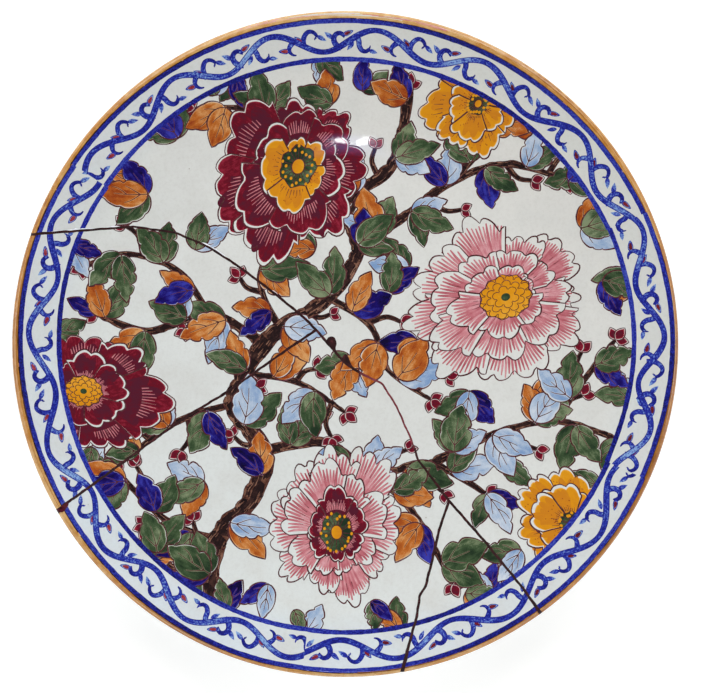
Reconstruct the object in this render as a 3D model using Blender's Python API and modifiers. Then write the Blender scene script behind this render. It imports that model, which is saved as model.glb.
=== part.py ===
"""A round glazed earthenware plate, broken into four shards and glued together again.

The plate is one turned section. Three crack lines part it into shards, and each crack is full of
old adhesive. Where one crack leaves the rim, a lump of filler takes the place of a lost flake.
Metres, +Z up. The origin lies under the middle of the plate, which stands on its foot ring at z = 0.
"""

import math

import bmesh
import bpy
from mathutils import Vector

MM = 0.001

# Plate: the lip is a half round that joins the face and the underside, a wall's thickness apart
PLATE_RADIUS = 155 * MM
LIP_RADIUS = 2.6 * MM
WALL = 2 * LIP_RADIUS
LIP_SEGMENTS = 8
TURN_STEPS = 72
# Radius, height and slope of the face, from its middle to the start of the lip; lengths in mm
FACE_STATIONS = ((0, 8.8, 0), (80, 9.8, 0.03), (133.5, 22.6, 0.40), (151.4, 30.2, 0.44))
WELL_RADII = (0, 40, 70, 82)
FLARE_RADII = (97, 104, 111, 118, 125, 132, 139, 145.5)

# Foot ring and the recessed base inside it
FOOT_OUTER = 90.5 * MM
FOOT_INNER = 85 * MM
FOOT_DRAFT = 2.6 * MM
FOOT_CHAMFER = 0.5 * MM
BASE_HEIGHT = 3.4 * MM

# Crack lines, as x, y and width in mm. Each starts outside the rim. The long one crosses the whole
# plate, and the other two end on it.
LONG_CRACK = (
    (-163, 50.4, 1.3), (-146, 51, 1.3), (-116, 53.4, 1.3), (-99, 54.8, 1.3), (-80, 52, 1.2),
    (-65, 46, 1.2), (-51, 37, 1.2), (-36, 26, 1.2), (-20, 13, 1.2), (-13.6, 6.6, 1.2),
    (-4.4, -4, 1.2), (0, -9, 1.2), (7.3, -13.8, 1.1), (17.3, -18.5, 1.1), (24, -29.2, 1.1),
    (31, -45, 1.1), (34, -54, 1.1), (48.5, -73.3, 1.2), (65, -92, 1.3), (83, -114, 1.5),
    (90, -124, 2.4), (99, -136, 3.2),
)  # fmt: skip
LEFT_CRACK = (
    (-146, -86.6, 1.2), (-133.8, -77.3, 1.2), (-129.5, -74, 1.2), (-115, -63.6, 1.2),
    (-92, -46.5, 1.2), (-75, -34.4, 1.1), (-54.5, -22, 1.1), (-27.3, -2.6, 1.1),
    (-18.7, 3.1, 1.1), (-13.6, 6.6, 1.2),
)  # fmt: skip
LOWER_CRACK = (
    (24.8, -168, 2.4), (26.6, -152, 1.9), (29.9, -139, 1.3), (33.5, -126.3, 1.2),
    (34.7, -117.4, 1.2), (37.4, -113.2, 1.2), (40.8, -100.3, 1.2), (44, -86.4, 1.2),
    (48.5, -73.3, 1.2),
)  # fmt: skip
LEFT_JOINT = LONG_CRACK.index(LEFT_CRACK[-1])
LOWER_JOINT = LONG_CRACK.index(LOWER_CRACK[-1])

# Adhesive: clear of the shards by this much, so that no two meshes touch
CLEARANCE = 0.3 * MM
JOINT_SETBACK = 0.9 * MM
FILLER_SETBACK = 22.8 * MM

# Flakes lost from the face beside the long crack and filled with adhesive; outlines in mm
ROUND_FLAKE = (
    (-9.4, 2), (-4.4, -4), (-2.4, -6.2), (-4.7, -2.5), (-4, -0.5), (-4.7, 2.6), (-6, 3.6), (-8, 3.1),
)  # fmt: skip
LONG_FLAKE = (
    (-1.6, -7.2), (0, -9), (7.3, -13.8), (6, -12.2), (3.6, -10.7), (2.2, -8), (1.1, -5.4), (-0.4, -4.8),
)  # fmt: skip
FLAKE_DEPTH = 1.6 * MM

# Lump of filler in the rim, where the left crack ends; outline in mm
RIM_LUMP = (
    (-129.7, -73.8), (-134, -77.1), (-142.2, -83.4), (-139.5, -82.8), (-133.8, -78.6),
    (-131.2, -78), (-129.4, -75.8), (-128.9, -74.3),
)  # fmt: skip

# Cutters reach well past the plate
CUTTER_RADIUS = 172 * MM
CUTTER_ARC_STEP = math.radians(12)
CUTTER_LOW = -5 * MM
CUTTER_HIGH = 40 * MM

GLAZE = (0.69, 0.70, 0.67, 1)
ADHESIVE = (0.035, 0.014, 0.012, 1)
FILLER = (0.090, 0.014, 0.020, 1)


def clear_scene():
    for obj in list(bpy.data.objects):
        bpy.data.objects.remove(obj)


def new_collection(name):
    made = bpy.data.collections.new(name)
    bpy.context.scene.collection.children.link(made)
    return made


def new_material(name, colour, roughness):
    material = bpy.data.materials.new(name)
    material.use_nodes = True
    shader = material.node_tree.nodes["Principled BSDF"]
    shader.inputs["Base Color"].default_value = colour
    shader.inputs["Roughness"].default_value = roughness
    shader.inputs["Metallic"].default_value = 0
    return material


# ---------------------------------------------------------------- the whole plate


def face_at(radius):
    """Height and slope of the face: a cubic curve between the stations on either side."""
    for inner, outer in zip(FACE_STATIONS, FACE_STATIONS[1:]):
        if radius <= outer[0] * MM:
            break
    span = (outer[0] - inner[0]) * MM
    low, high = inner[1] * MM, outer[1] * MM
    low_slope, high_slope = inner[2], outer[2]
    t = (radius - inner[0] * MM) / span
    height = (1 + 2 * t) * (1 - t) ** 2 * low + t * t * (3 - 2 * t) * high
    height += span * (t * (1 - t) ** 2 * low_slope + t * t * (t - 1) * high_slope)
    slope = 6 * t * (1 - t) * (high - low) / span
    slope += (1 - t) * (1 - 3 * t) * low_slope + t * (3 * t - 2) * high_slope
    return height, slope


def section_point(radius, depth=0):
    """The point of the section at this depth below the face, square to it."""
    height, slope = face_at(radius)
    return Vector((radius, height)) - depth * Vector((-slope, 1)).normalized()


def lip_points():
    """A half circle from the face over the rim to the underside."""
    start = FACE_STATIONS[-1][0] * MM
    centre = section_point(start, LIP_RADIUS)
    centre.x = PLATE_RADIUS - LIP_RADIUS
    first = math.pi / 2 + math.atan(face_at(start)[1])
    angles = [first - math.pi * i / LIP_SEGMENTS for i in range(LIP_SEGMENTS + 1)]
    return [centre + LIP_RADIUS * Vector((math.cos(a), math.sin(a))) for a in angles]


def foot_points():
    """The foot ring and the recessed base, from outside to the axis."""
    top = FOOT_OUTER + FOOT_DRAFT
    return [
        Vector((top, section_point(top, WALL).y)),
        Vector((FOOT_OUTER, FOOT_CHAMFER)),
        Vector((FOOT_OUTER - FOOT_CHAMFER, 0)),
        Vector((FOOT_INNER + FOOT_CHAMFER, 0)),
        Vector((FOOT_INNER, FOOT_CHAMFER)),
        Vector((FOOT_INNER - FOOT_DRAFT, BASE_HEIGHT)),
        Vector((0, BASE_HEIGHT)),
    ]


def plate_section():
    """The closed half section, from the middle of the face round the rim to the middle of the base."""
    flare = [radius * MM for radius in FLARE_RADII]
    face = [section_point(radius * MM) for radius in WELL_RADII]
    face += [section_point(radius) for radius in flare]
    underside = [section_point(radius, WALL) for radius in reversed(flare)]
    return face + lip_points() + underside + foot_points()


def turned_plate(name, material, parts, parent):
    """A whole plate, turned from the section, for Booleans to cut down to one piece."""
    section = plate_section()
    mesh = bpy.data.meshes.new(name)
    edges = [(i, i + 1) for i in range(len(section) - 1)]
    mesh.from_pydata([(point.x, 0, point.y) for point in section], edges, [])
    mesh.materials.append(material)
    plate = bpy.data.objects.new(name, mesh)
    plate.parent = parent
    parts.objects.link(plate)
    screw = plate.modifiers.new("turn", "SCREW")
    screw.axis = "Z"
    screw.steps = TURN_STEPS
    screw.render_steps = TURN_STEPS
    screw.use_smooth_shade = True
    screw.use_merge_vertices = True
    screw.merge_threshold = 1e-6
    return plate


# ---------------------------------------------------------------- outlines and cutters


def in_metres(outline):
    return [Vector(point[:2]) * MM for point in outline]


def inset(outline, distances):
    """A closed anticlockwise outline, each corner moved inwards by its own distance and mitred."""
    moved = []
    for i, point in enumerate(outline):
        before = (point - outline[i - 1]).normalized()
        after = (outline[(i + 1) % len(outline)] - point).normalized()
        mitre = Vector((-before.y - after.y, before.x + after.x))
        moved.append(point + distances[i] * mitre * 2 / mitre.length_squared)
    return moved


def trimmed(route, from_start, from_end):
    """A crack line with these lengths taken off its two ends."""
    kept = list(route)
    for length in (from_start, from_end):
        while True:
            point, following = kept[0], kept[1]
            step = math.dist(point[:2], following[:2])
            if step > length / MM:
                break
            length -= step * MM
            kept.pop(0)
        share = length / MM / step
        kept[0] = tuple(a + (b - a) * share for a, b in zip(point, following))
        kept.reverse()
    return kept


def prism(name, outline, cutters, low=CUTTER_LOW):
    """An upright closed solid on a flat anticlockwise outline."""
    shape = bmesh.new()
    base = shape.faces.new([shape.verts.new((*point, low)) for point in outline])
    raised = bmesh.ops.extrude_face_region(shape, geom=[base])["geom"]
    top = [item for item in raised if isinstance(item, bmesh.types.BMVert)]
    bmesh.ops.translate(shape, verts=top, vec=(0, 0, CUTTER_HIGH - low))
    bmesh.ops.recalc_face_normals(shape, faces=shape.faces)
    mesh = bpy.data.meshes.new(name)
    shape.to_mesh(mesh)
    shape.free()
    cutter = bpy.data.objects.new(name, mesh)
    cutter.hide_render = True
    cutter.display_type = "WIRE"
    cutters.objects.link(cutter)
    return cutter


def outer_arc(start, end):
    """Points outside the rim, anticlockwise from the direction of one point to that of another."""
    first = math.atan2(start.y, start.x)
    turn = (math.atan2(end.y, end.x) - first) % math.tau
    count = math.ceil(turn / CUTTER_ARC_STEP)
    angles = [first + turn * i / count for i in range(count + 1)]
    return [CUTTER_RADIUS * Vector((math.cos(a), math.sin(a))) for a in angles]


def shard_prism(name, border, cutters):
    """What holds one shard: its crack lines less half their width, closed outside the rim."""
    line = in_metres(border)
    arc = outer_arc(line[-1], line[0])
    half_widths = [point[2] * MM / 2 for point in border] + [0] * len(arc)
    return prism(name, inset(line + arc, half_widths), cutters)


def seam_prism(name, route, cutters):
    """A thin wall along a crack, clear of both its sides."""
    line = in_metres(route)
    right, left = [], []
    for i, point in enumerate(line):
        way = line[min(i + 1, len(line) - 1)] - line[max(i - 1, 0)]
        across = Vector((-way.y, way.x)).normalized() * (route[i][2] * MM / 2 - CLEARANCE)
        right.append(point - across)
        left.append(point + across)
    return prism(name, right + left[::-1], cutters)


def boolean(obj, operation, other):
    modifier = obj.modifiers.new(other.name, "BOOLEAN")
    modifier.operation = operation
    modifier.solver = "EXACT"
    modifier.object = other


# ---------------------------------------------------------------- the pieces


def add_shards(parts, cutters, parent):
    """The four shards, as the cracks part the plate."""
    borders = {
        "shard_large": LONG_CRACK,
        "shard_left": LEFT_CRACK + LONG_CRACK[:LEFT_JOINT][::-1],
        "shard_lower": LOWER_CRACK + LONG_CRACK[LEFT_JOINT:LOWER_JOINT][::-1] + LEFT_CRACK[-2::-1],
        "shard_small": LONG_CRACK[LOWER_JOINT:][::-1] + LOWER_CRACK[-2::-1],
    }
    shards = {}
    for name, border in borders.items():
        shards[name] = turned_plate(name, new_material(f"{name}_glaze", GLAZE, 0.18), parts, parent)
        boolean(shards[name], "INTERSECT", shard_prism(f"{name}_cutter", border, cutters))
    return shards


def add_seams(parts, cutters, parent):
    """The adhesive in the three cracks."""
    routes = {
        "adhesive_long_crack": LONG_CRACK,
        "adhesive_left_crack": trimmed(LEFT_CRACK, FILLER_SETBACK, JOINT_SETBACK),
        "adhesive_lower_crack": trimmed(LOWER_CRACK, 0, JOINT_SETBACK),
    }
    seams = {}
    for name, route in routes.items():
        cutter = seam_prism(f"{name}_cutter", route, cutters)
        seams[name] = turned_plate(name, new_material(f"{name}_glue", ADHESIVE, 0.45), parts, parent)
        boolean(seams[name], "INTERSECT", cutter)
    return seams


def fill_flakes(shard, seam_cutter, cutters):
    """Shallow hollows in the shard's face, and the adhesive of the crack spread into them."""
    floor = FACE_STATIONS[0][1] * MM - FLAKE_DEPTH
    for name, outline in (("round_flake", ROUND_FLAKE), ("long_flake", LONG_FLAKE)):
        edge = in_metres(outline)
        grown = inset(edge, [-CLEARANCE] * len(edge))
        boolean(seam_cutter, "UNION", prism(f"{name}_fill", edge, cutters, floor))
        boolean(shard, "DIFFERENCE", prism(f"{name}_hollow", grown, cutters, floor - CLEARANCE))


def add_rim_filler(shard, parts, cutters, parent):
    """The lump of filler in the rim, and the notch that holds it."""
    edge = in_metres(RIM_LUMP)
    grown = inset(edge, [-CLEARANCE] * len(edge))
    boolean(shard, "DIFFERENCE", prism("rim_notch", grown, cutters))
    filler = turned_plate("rim_filler", new_material("rim_filler_wax", FILLER, 0.4), parts, parent)
    boolean(filler, "INTERSECT", prism("rim_lump_cutter", edge, cutters))


def main():
    clear_scene()
    parts = new_collection("broken_plate")
    cutters = new_collection("cutters")
    cutters.hide_render = True
    plate = bpy.data.objects.new("plate", None)
    parts.objects.link(plate)
    shards = add_shards(parts, cutters, plate)
    seams = add_seams(parts, cutters, plate)
    long_seam_cutter = seams["adhesive_long_crack"].modifiers[-1].object
    fill_flakes(shards["shard_large"], long_seam_cutter, cutters)
    add_rim_filler(shards["shard_lower"], parts, cutters, plate)


main()
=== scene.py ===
"""Looks of a broken and mended earthenware plate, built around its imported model.

Drawing is done in millimetres on the plan of the plate. A position is one complex number, with x to
the right and y up the plate, and every painted shape is one or more closed loops of positions. The
whole face is then cut into triangles along those loops, so that each colour ends on a real edge, and
lifted onto the turned section of the plate.
"""

import cmath
import logging
import math
import random
from collections.abc import Callable, Sequence
from dataclasses import dataclass, field
from enum import Enum

import bpy
import numpy as np
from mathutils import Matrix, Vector
from mathutils.geometry import delaunay_2d_cdt


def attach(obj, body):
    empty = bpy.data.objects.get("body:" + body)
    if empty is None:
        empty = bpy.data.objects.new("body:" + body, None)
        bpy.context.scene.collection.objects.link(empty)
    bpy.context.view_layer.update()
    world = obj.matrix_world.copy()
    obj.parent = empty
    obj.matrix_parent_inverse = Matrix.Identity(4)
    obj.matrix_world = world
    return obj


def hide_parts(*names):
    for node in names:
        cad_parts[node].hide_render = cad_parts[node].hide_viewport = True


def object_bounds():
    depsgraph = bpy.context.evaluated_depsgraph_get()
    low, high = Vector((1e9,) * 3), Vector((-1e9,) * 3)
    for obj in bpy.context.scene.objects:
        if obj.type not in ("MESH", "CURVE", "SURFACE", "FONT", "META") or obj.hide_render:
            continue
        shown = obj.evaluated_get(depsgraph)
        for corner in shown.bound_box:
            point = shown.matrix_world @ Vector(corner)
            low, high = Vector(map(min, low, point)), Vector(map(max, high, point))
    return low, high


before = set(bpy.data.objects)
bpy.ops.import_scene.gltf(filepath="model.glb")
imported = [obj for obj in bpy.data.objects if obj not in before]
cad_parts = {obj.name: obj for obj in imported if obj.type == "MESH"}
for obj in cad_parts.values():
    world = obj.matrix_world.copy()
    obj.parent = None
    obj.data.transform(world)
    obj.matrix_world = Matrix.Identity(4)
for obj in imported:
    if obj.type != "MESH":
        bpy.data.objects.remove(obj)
CAD_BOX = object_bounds()

LOG = logging.getLogger("broken_plate")
MM = 0.001
# Settles every hand-laid irregularity of the decoration
SEED = 1890
# How many points times edges are tested in one go, which limits the memory that it takes
SHARE = 4_000_000

Loop = np.ndarray
Material = bpy.types.Material
Piece = bpy.types.Object
Socket = bpy.types.NodeSocket


# ---------------- lines on the plan


def turned(degrees: float) -> complex:
    """The unit step in this direction, anticlockwise from +x."""
    return cmath.exp(1j * math.radians(degrees))


def spline(points: Sequence[complex], step: float, closed: bool = False) -> Loop:
    """Draw a smooth curve through points.

    Args:
        points: Positions that the curve goes through.
        step: Longest distance between two points of the result.
        closed: Whether the curve comes back to its first point.

    Returns:
        The points of the curve in order.
    """
    knots = np.asarray(points, complex)
    count = len(knots)
    made = []
    for i in range(count if closed else count - 1):
        near = np.arange(i - 1, i + 3)
        a, b, c, d = knots[near % count if closed else near.clip(0, count - 1)]
        steps = max(2, math.ceil(abs(c - b) / step))
        t = np.arange(steps) / steps
        cubic = (2 * a - 5 * b + 4 * c - d) * t**2 + (3 * b - a - 3 * c + d) * t**3
        made.append(0.5 * (2 * b + (c - a) * t + cubic))
    return np.concatenate(made if closed else [*made, knots[-1:]])


def walked(path: Loop) -> np.ndarray:
    """How far along a path each of its points lies."""
    return np.concatenate([[0], np.cumsum(np.abs(np.diff(path)))])


def turns(count: int) -> np.ndarray:
    """This many angles in radians, evenly round from +x."""
    return np.linspace(0, math.tau, count, endpoint=False)


def sideways(path: Loop, closed: bool = False) -> Loop:
    """The unit step to the left of a path, at each of its points."""
    way = np.roll(path, -1) - np.roll(path, 1) if closed else np.gradient(path)
    return 1j * way / np.maximum(np.abs(way), 1e-12)


def ribbon(path: Loop, width: float | np.ndarray) -> tuple[Loop, ...]:
    """The loop round a stroke of this width along an open path."""
    across = sideways(path) * np.broadcast_to(width, path.shape) / 2
    return (np.concatenate([path - across, (path + across)[::-1]]),)


def hoop(path: Loop, width: float | np.ndarray) -> tuple[Loop, ...]:
    """The two loops of a line of this width round a closed path."""
    across = sideways(path, closed=True) * np.broadcast_to(width, path.shape) / 2
    return (path - across, (path + across)[::-1])


def winding(points: Loop, loop: Loop) -> np.ndarray:
    """How many times a closed loop goes round each of the points, worked out a share at a time.

    Args:
        points: Positions to test.
        loop: The closed loop.

    Returns:
        The turns at each position, anticlockwise ones counted up.
    """
    way = (np.roll(loop, -1) - loop)[None, :]
    times = [np.zeros(0, int)]
    for some in np.array_split(points, 1 + len(points) * len(loop) // SHARE):
        height = some.imag[:, None] - loop.imag
        side = way.real * height - way.imag * (some.real[:, None] - loop.real)
        rises = (height >= 0) & (height < way.imag)
        falls = (height < 0) & (height >= way.imag)
        times.append((rises & (side > 0)).sum(1) - (falls & (side < 0)).sum(1))
    return np.concatenate(times)


# ---------------- the turned plate


@dataclass(frozen=True)
class PlateSection:
    """The turned section of the plate in millimetres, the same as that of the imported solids."""

    radius: float = 154.985
    lip: float = 2.585
    wall: float = 5.2
    stations: tuple[tuple[float, float, float], ...] = (
        (0, 8.8, 0), (80, 9.8, 0.03), (133.5, 22.6, 0.40), (151.4, 30.2, 0.44),
    )  # fmt: skip
    foot: tuple[tuple[float, float], ...] = (
        (94.6, 6.75), (93.1, 6.05), (92.2, 4.6), (91.3, 2.6), (90.6, 0.9), (90.25, 0.3), (89.7, 0.03),
        (89.3, 0), (86.1, 0), (85.7, 0.03), (85.2, 0.3), (84.85, 0.8), (83.4, 2.5), (82.3, 3.25),
        (81, 3.4), (60, 3.4), (30, 3.4), (0, 3.4),
    )  # fmt: skip

    def face(self, radius: np.ndarray) -> tuple[np.ndarray, np.ndarray]:
        """Height and slope of the glazed face inside the lip, at these plan radii.

        Args:
            radius: Plan radii.

        Returns:
            The height and the slope.
        """
        height, slope = np.zeros_like(radius), np.zeros_like(radius)
        for (near, low, rise), (far, high, end) in zip(self.stations, self.stations[1:]):
            span = far - near
            t = (radius - near) / span
            here = (t >= 0) & (t <= 1)
            h = (1 + 2 * t) * (1 - t) ** 2 * low + t * t * (3 - 2 * t) * high
            h = h + span * (t * (1 - t) ** 2 * rise + t * t * (t - 1) * end)
            s = 6 * t * (1 - t) * (high - low) / span + (1 - t) * (1 - 3 * t) * rise + t * (3 * t - 2) * end
            height, slope = np.where(here, h, height), np.where(here, s, slope)
        return height, slope

    @property
    def lip_centre(self) -> tuple[float, float]:
        """Radius and height of the middle of the half round lip."""
        height, slope = (float(v[0]) for v in self.face(np.array([self.stations[-1][0]])))
        return self.radius - self.lip, height - 2.6 / math.hypot(1, slope)

    def top(self, radius: np.ndarray) -> tuple[np.ndarray, np.ndarray, np.ndarray]:
        """Height of the upper side, with its normal's outward and upward parts.

        Args:
            radius: Plan radii.

        Returns:
            The height, and the outward and upward parts of the normal.
        """
        middle, low = self.lip_centre
        height, slope = self.face(np.minimum(radius, self.stations[-1][0]))
        out = np.clip((radius - middle) / self.lip, -1, 1)
        up = np.sqrt(1 - out * out)
        size = np.hypot(1, slope)
        over = radius > middle - self.lip * 0.402
        height = np.where(over, low + self.lip * up, height)
        return height, np.where(over, out, -slope / size), np.where(over, up, 1 / size)

    def underside(self) -> tuple[np.ndarray, np.ndarray]:
        """Radii and heights of the underside, from the rim to the middle.

        Returns:
            The radii and the heights.
        """
        middle, low = self.lip_centre
        turn = np.radians(np.arange(0, 67, 11.0))
        flare = np.arange(149.0, 97, -5.5)
        height, slope = self.face(flare)
        size = np.hypot(1, slope)
        foot, rise = zip(*self.foot)
        radii = np.concatenate([middle + self.lip * np.cos(turn), flare + self.wall * slope / size, foot])
        return radii, np.concatenate([low - self.lip * np.sin(turn), height - self.wall / size, rise])

    def bottom(self, radius: np.ndarray) -> tuple[np.ndarray, np.ndarray, np.ndarray]:
        """Height of the underside, with its normal's outward and upward parts.

        Args:
            radius: Plan radii.

        Returns:
            The height, and the outward and upward parts of the normal.
        """
        radii, heights = self.underside()
        way = np.gradient(radii + 1j * heights)
        way[0], way[-1] = -1j, -1
        normal = way * 1j / np.abs(way)
        height = np.interp(radius, radii[::-1], heights[::-1])
        out = np.interp(radius, radii[::-1], normal.real[::-1])
        up = np.interp(radius, radii[::-1], normal.imag[::-1])
        size = np.hypot(out, up)
        return height, out / size, up / size


SECTION = PlateSection()


# ---------------- paints and the canvas


class Paint(Enum):
    """What lies on the plate. The values are the order of a shard's material slots."""

    GROUND = 0
    PRINT = 1
    BARK = 2
    WOOD = 3
    GREEN = 4
    COBALT = 5
    SKY = 6
    ORANGE = 7
    YELLOW = 8
    BURGUNDY = 9
    ROSE = 10
    SCROLL = 11
    SCROLL_RED = 12
    BAND = 13
    LIP = 14
    BISCUIT = 15
    # chipped edge, painted pale as a glint of light
    CHIP = 16
    GAP = 17


class Region(Enum):
    """Where a shape may show: in the well, on one printed strip of the border, or anywhere."""

    WELL = -1
    STRIP_A = 0
    STRIP_B = 1
    STRIP_C = 2
    STRIP_D = 3
    ANYWHERE = 9


@dataclass(frozen=True)
class Wash:
    """How deep a paint is laid, changing evenly from one position to another.

    The direction between the two is also that of the brush.
    """

    start: complex = 0j
    end: complex = 1 + 0j
    low: float = 0.5
    high: float = 0.5

    def brush(self, points: np.ndarray) -> np.ndarray:
        """Positions measured along the brush and across it."""
        way = self.end - self.start
        return (points - self.start) * way.conjugate() / abs(way)

    def tone(self, points: np.ndarray) -> np.ndarray:
        """How deep the paint lies at these positions, from 0 to 1."""
        share = self.brush(points).real / abs(self.end - self.start)
        return self.low + (self.high - self.low) * np.clip(share, 0, 1)


def even(tone: float) -> Wash:
    """A wash of one tone all over."""
    return Wash(low=tone, high=tone)


@dataclass(frozen=True)
class Patch:
    """One painted shape."""

    loops: tuple[Loop, ...]
    paint: Paint
    wash: Wash = Wash()
    region: Region = Region.ANYWHERE


@dataclass
class Canvas:
    """The decoration as coloured patches, in the order in which they are laid."""

    rng: random.Random
    patches: list[Patch] = field(default_factory=list)
    region: Region = Region.ANYWHERE
    line: float = 0.6

    def lay(self, loops: tuple[Loop, ...], paint: Paint, wash: Wash = Wash()) -> None:
        """Lay one patch over what is there."""
        self.patches.append(Patch(loops, paint, wash, self.region))

    def fill(self, loop: Loop, paint: Paint, wash: Wash = Wash()) -> None:
        """Lay the inside of one loop."""
        self.lay((loop,), paint, wash)

    def contour(self, path: Loop, width: float | None = None, paint: Paint = Paint.PRINT) -> None:
        """Draw a line round a closed path, swelling and thinning as an engraver's does.

        Args:
            path: The closed path.
            width: Its width, if not the usual one.
            paint: What it is drawn in.
        """
        phase = self.rng.uniform(0, math.tau)
        waves = max(1.5, len(path) / 22)
        swell = 1 + 0.25 * np.sin(phase + waves * np.linspace(0, math.tau, len(path)))
        self.lay(hoop(path, (width or self.line) * swell), paint)

    def stroke(
        self, path: Loop, width: float, taper: float = 0.35, paint: Paint = Paint.PRINT, wash: Wash = Wash()
    ) -> None:
        """Draw a stroke that narrows to this share of its width."""
        self.lay(ribbon(path, width * (1 - (1 - taper) * np.linspace(0, 1, len(path)))), paint, wash)


# ---------------- flowers and leaves of the well


@dataclass(frozen=True)
class Leaf:
    """A plump leaf with notches towards its tip: a printed line, and a wash that pales at its edge."""

    base: complex
    heading: float
    length: float
    width: float
    paint: Paint
    bend: float = 20
    lobes: int = 3
    margin: float = 0.32

    def rib(self, share: np.ndarray) -> Loop:
        """Points along the midrib, an arc.

        Args:
            share: Places along it, from 0 at the base to 1 at the tip.

        Returns:
            The points.
        """
        turn = math.radians(self.bend) or 1e-3
        first = math.radians(self.heading) - turn / 2
        arc = np.exp(1j * (first + turn * share)) - cmath.exp(1j * first)
        return self.base + self.length * arc / (1j * turn)

    def side(self, share: np.ndarray, sign: int, notch: float, phase: float = 0, inset: float = 0) -> Loop:
        """Points along one edge of the blade: round lobes with sharp notches between them.

        Args:
            share: Places along the midrib.
            sign: 1 for the left edge, -1 for the right one.
            notch: How deep the notches are, as a share of the half width.
            phase: Where the first lobe starts, in lobes.
            inset: How far inside the edge the points lie.

        Returns:
            The points.
        """
        # 0.351 is the highest value of the curve, which makes the blade as broad as its width
        swell = np.clip(share, 0, 1) ** 0.62 * np.clip(1 - share, 0, 1) ** 0.93 / 0.351
        lobe = 1 - np.abs(np.sin(math.pi * (self.lobes * share**1.15 + phase)))
        depth = notch * np.clip((share - 0.22) / 0.3, 0, 1) * np.clip((0.97 - share) / 0.1, 0, 1)
        rib = self.rib(share)
        half = self.width / 2 * swell * (1 - depth * lobe**2) - inset
        return rib + sign * sideways(rib) * np.maximum(half, 0.02)

    def draw(self, canvas: Canvas) -> None:
        """Lay the leaf.

        Args:
            canvas: The decoration so far.
        """
        rng = canvas.rng
        t = np.linspace(0, 1, 16 + 6 * self.lobes)
        cuts = {sign: (rng.uniform(0.12, 0.42), rng.uniform(0, 1)) for sign in (1, -1)}
        blade = np.concatenate([self.side(t, -1, *cuts[-1]), self.side(t, 1, *cuts[1])[-2:0:-1]])
        canvas.fill(blade, Paint.GROUND)
        slip = turned(rng.uniform(0, 360)) * rng.uniform(0, 0.35)
        light, dark = rng.uniform(0.12, 0.5), rng.uniform(0.55, 0.95)
        ends = (light, dark) if rng.random() < 0.6 else (dark, light)
        for extra, fade in ((0, -0.35), (0.42, 0)):
            u = np.linspace(0.03, 0.975 - 0.02 * extra, 14 + 5 * self.lobes)
            inset = self.margin + extra
            right, left = (self.side(u, sign, *cuts[sign], inset) for sign in (-1, 1))
            fill = np.concatenate([right, left[::-1]])
            wash = Wash(fill[0], fill[len(u)], *(max(end + fade, 0) for end in ends))
            canvas.fill(fill + slip, self.paint, wash)
        self.draw_veins(canvas)
        canvas.contour(blade)

    def draw_veins(self, canvas: Canvas) -> None:
        """Lay the midrib and a few side veins, each a thin line in a pale track.

        Args:
            canvas: The decoration so far.
        """
        rng = canvas.rng
        veins = [self.rib(np.linspace(-0.02, rng.uniform(0.55, 0.8), 9))]
        for sign in (1, -1):
            for start in (0.14, 0.4)[: rng.choice((1, 1, 2))]:
                share = start + np.array([0, 0.12, 0.22, 0.3])
                rib = self.rib(share)
                reach = np.abs(self.side(share, sign, 0) - rib) * np.array([0, 0.3, 0.48, 0.58])
                veins.append(spline(rib + sign * sideways(rib) * reach, 1.4))
        for vein in veins:
            canvas.stroke(vein, 1.0, 0.5, self.paint, even(0))
        for vein in veins:
            canvas.stroke(vein, 0.5, 0.6)


@dataclass(frozen=True)
class Spray:
    """Several leaves that spread from one point, the outer ones smaller."""

    base: complex
    heading: float
    length: float
    paints: tuple[Paint, ...]
    spread: float = 46

    def draw(self, canvas: Canvas) -> None:
        """Lay the outer leaves, then the middle one over them.

        Args:
            canvas: The decoration so far.
        """
        rng = canvas.rng
        middle = (len(self.paints) - 1) / 2
        order = sorted(range(len(self.paints)), key=lambda k: -abs(k - middle))
        for k in order:
            off = k - middle
            length = self.length * (1 - 0.13 * abs(off)) * rng.uniform(0.94, 1.06)
            heading = self.heading + off * self.spread + rng.uniform(-5, 5)
            bend = 14 * off + rng.choice((-1, 1)) * rng.uniform(6, 22)
            width = length * rng.uniform(0.5, 0.68)
            lobes = rng.choice((2, 3, 3, 4))
            Leaf(self.base, heading, length, width, self.paints[k], bend, lobes).draw(canvas)


@dataclass(frozen=True)
class Bud:
    """Two or three small round petals at the end of a twig."""

    base: complex
    heading: float
    size: float
    petals: int = 2
    paint: Paint = Paint.BURGUNDY

    def petal(self, heading: float, size: float, inset: float) -> Loop:
        """The outline of one petal, kept this far inside its edge.

        Args:
            heading: Its direction in degrees.
            size: Its length.
            inset: How far inside its edge.

        Returns:
            The closed outline.
        """
        t = np.linspace(0, 1, 13)
        half = np.maximum(0.34 * size * np.sin(math.pi * t**0.85) ** 0.8 - inset, 0.02)
        reach = inset + (size - 2.2 * inset) * t
        return self.base + turned(heading) * np.concatenate([reach - 1j * half, (reach + 1j * half)[-2:0:-1]])

    def draw(self, canvas: Canvas) -> None:
        """Lay the petals, the middle one last.

        Args:
            canvas: The decoration so far.
        """
        middle = (self.petals - 1) / 2
        for off in sorted((k - middle for k in range(self.petals)), key=lambda off: -abs(off)):
            heading, size = self.heading + 62 * off, self.size * (1 - 0.1 * abs(off))
            rim = self.petal(heading, size, 0)
            canvas.fill(rim, Paint.GROUND)
            canvas.fill(self.petal(heading, size, 0.38), self.paint, even(0))
            canvas.fill(self.petal(heading, size, 0.72), self.paint, even(0.6))
            canvas.contour(rim, 0.5)


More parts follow.
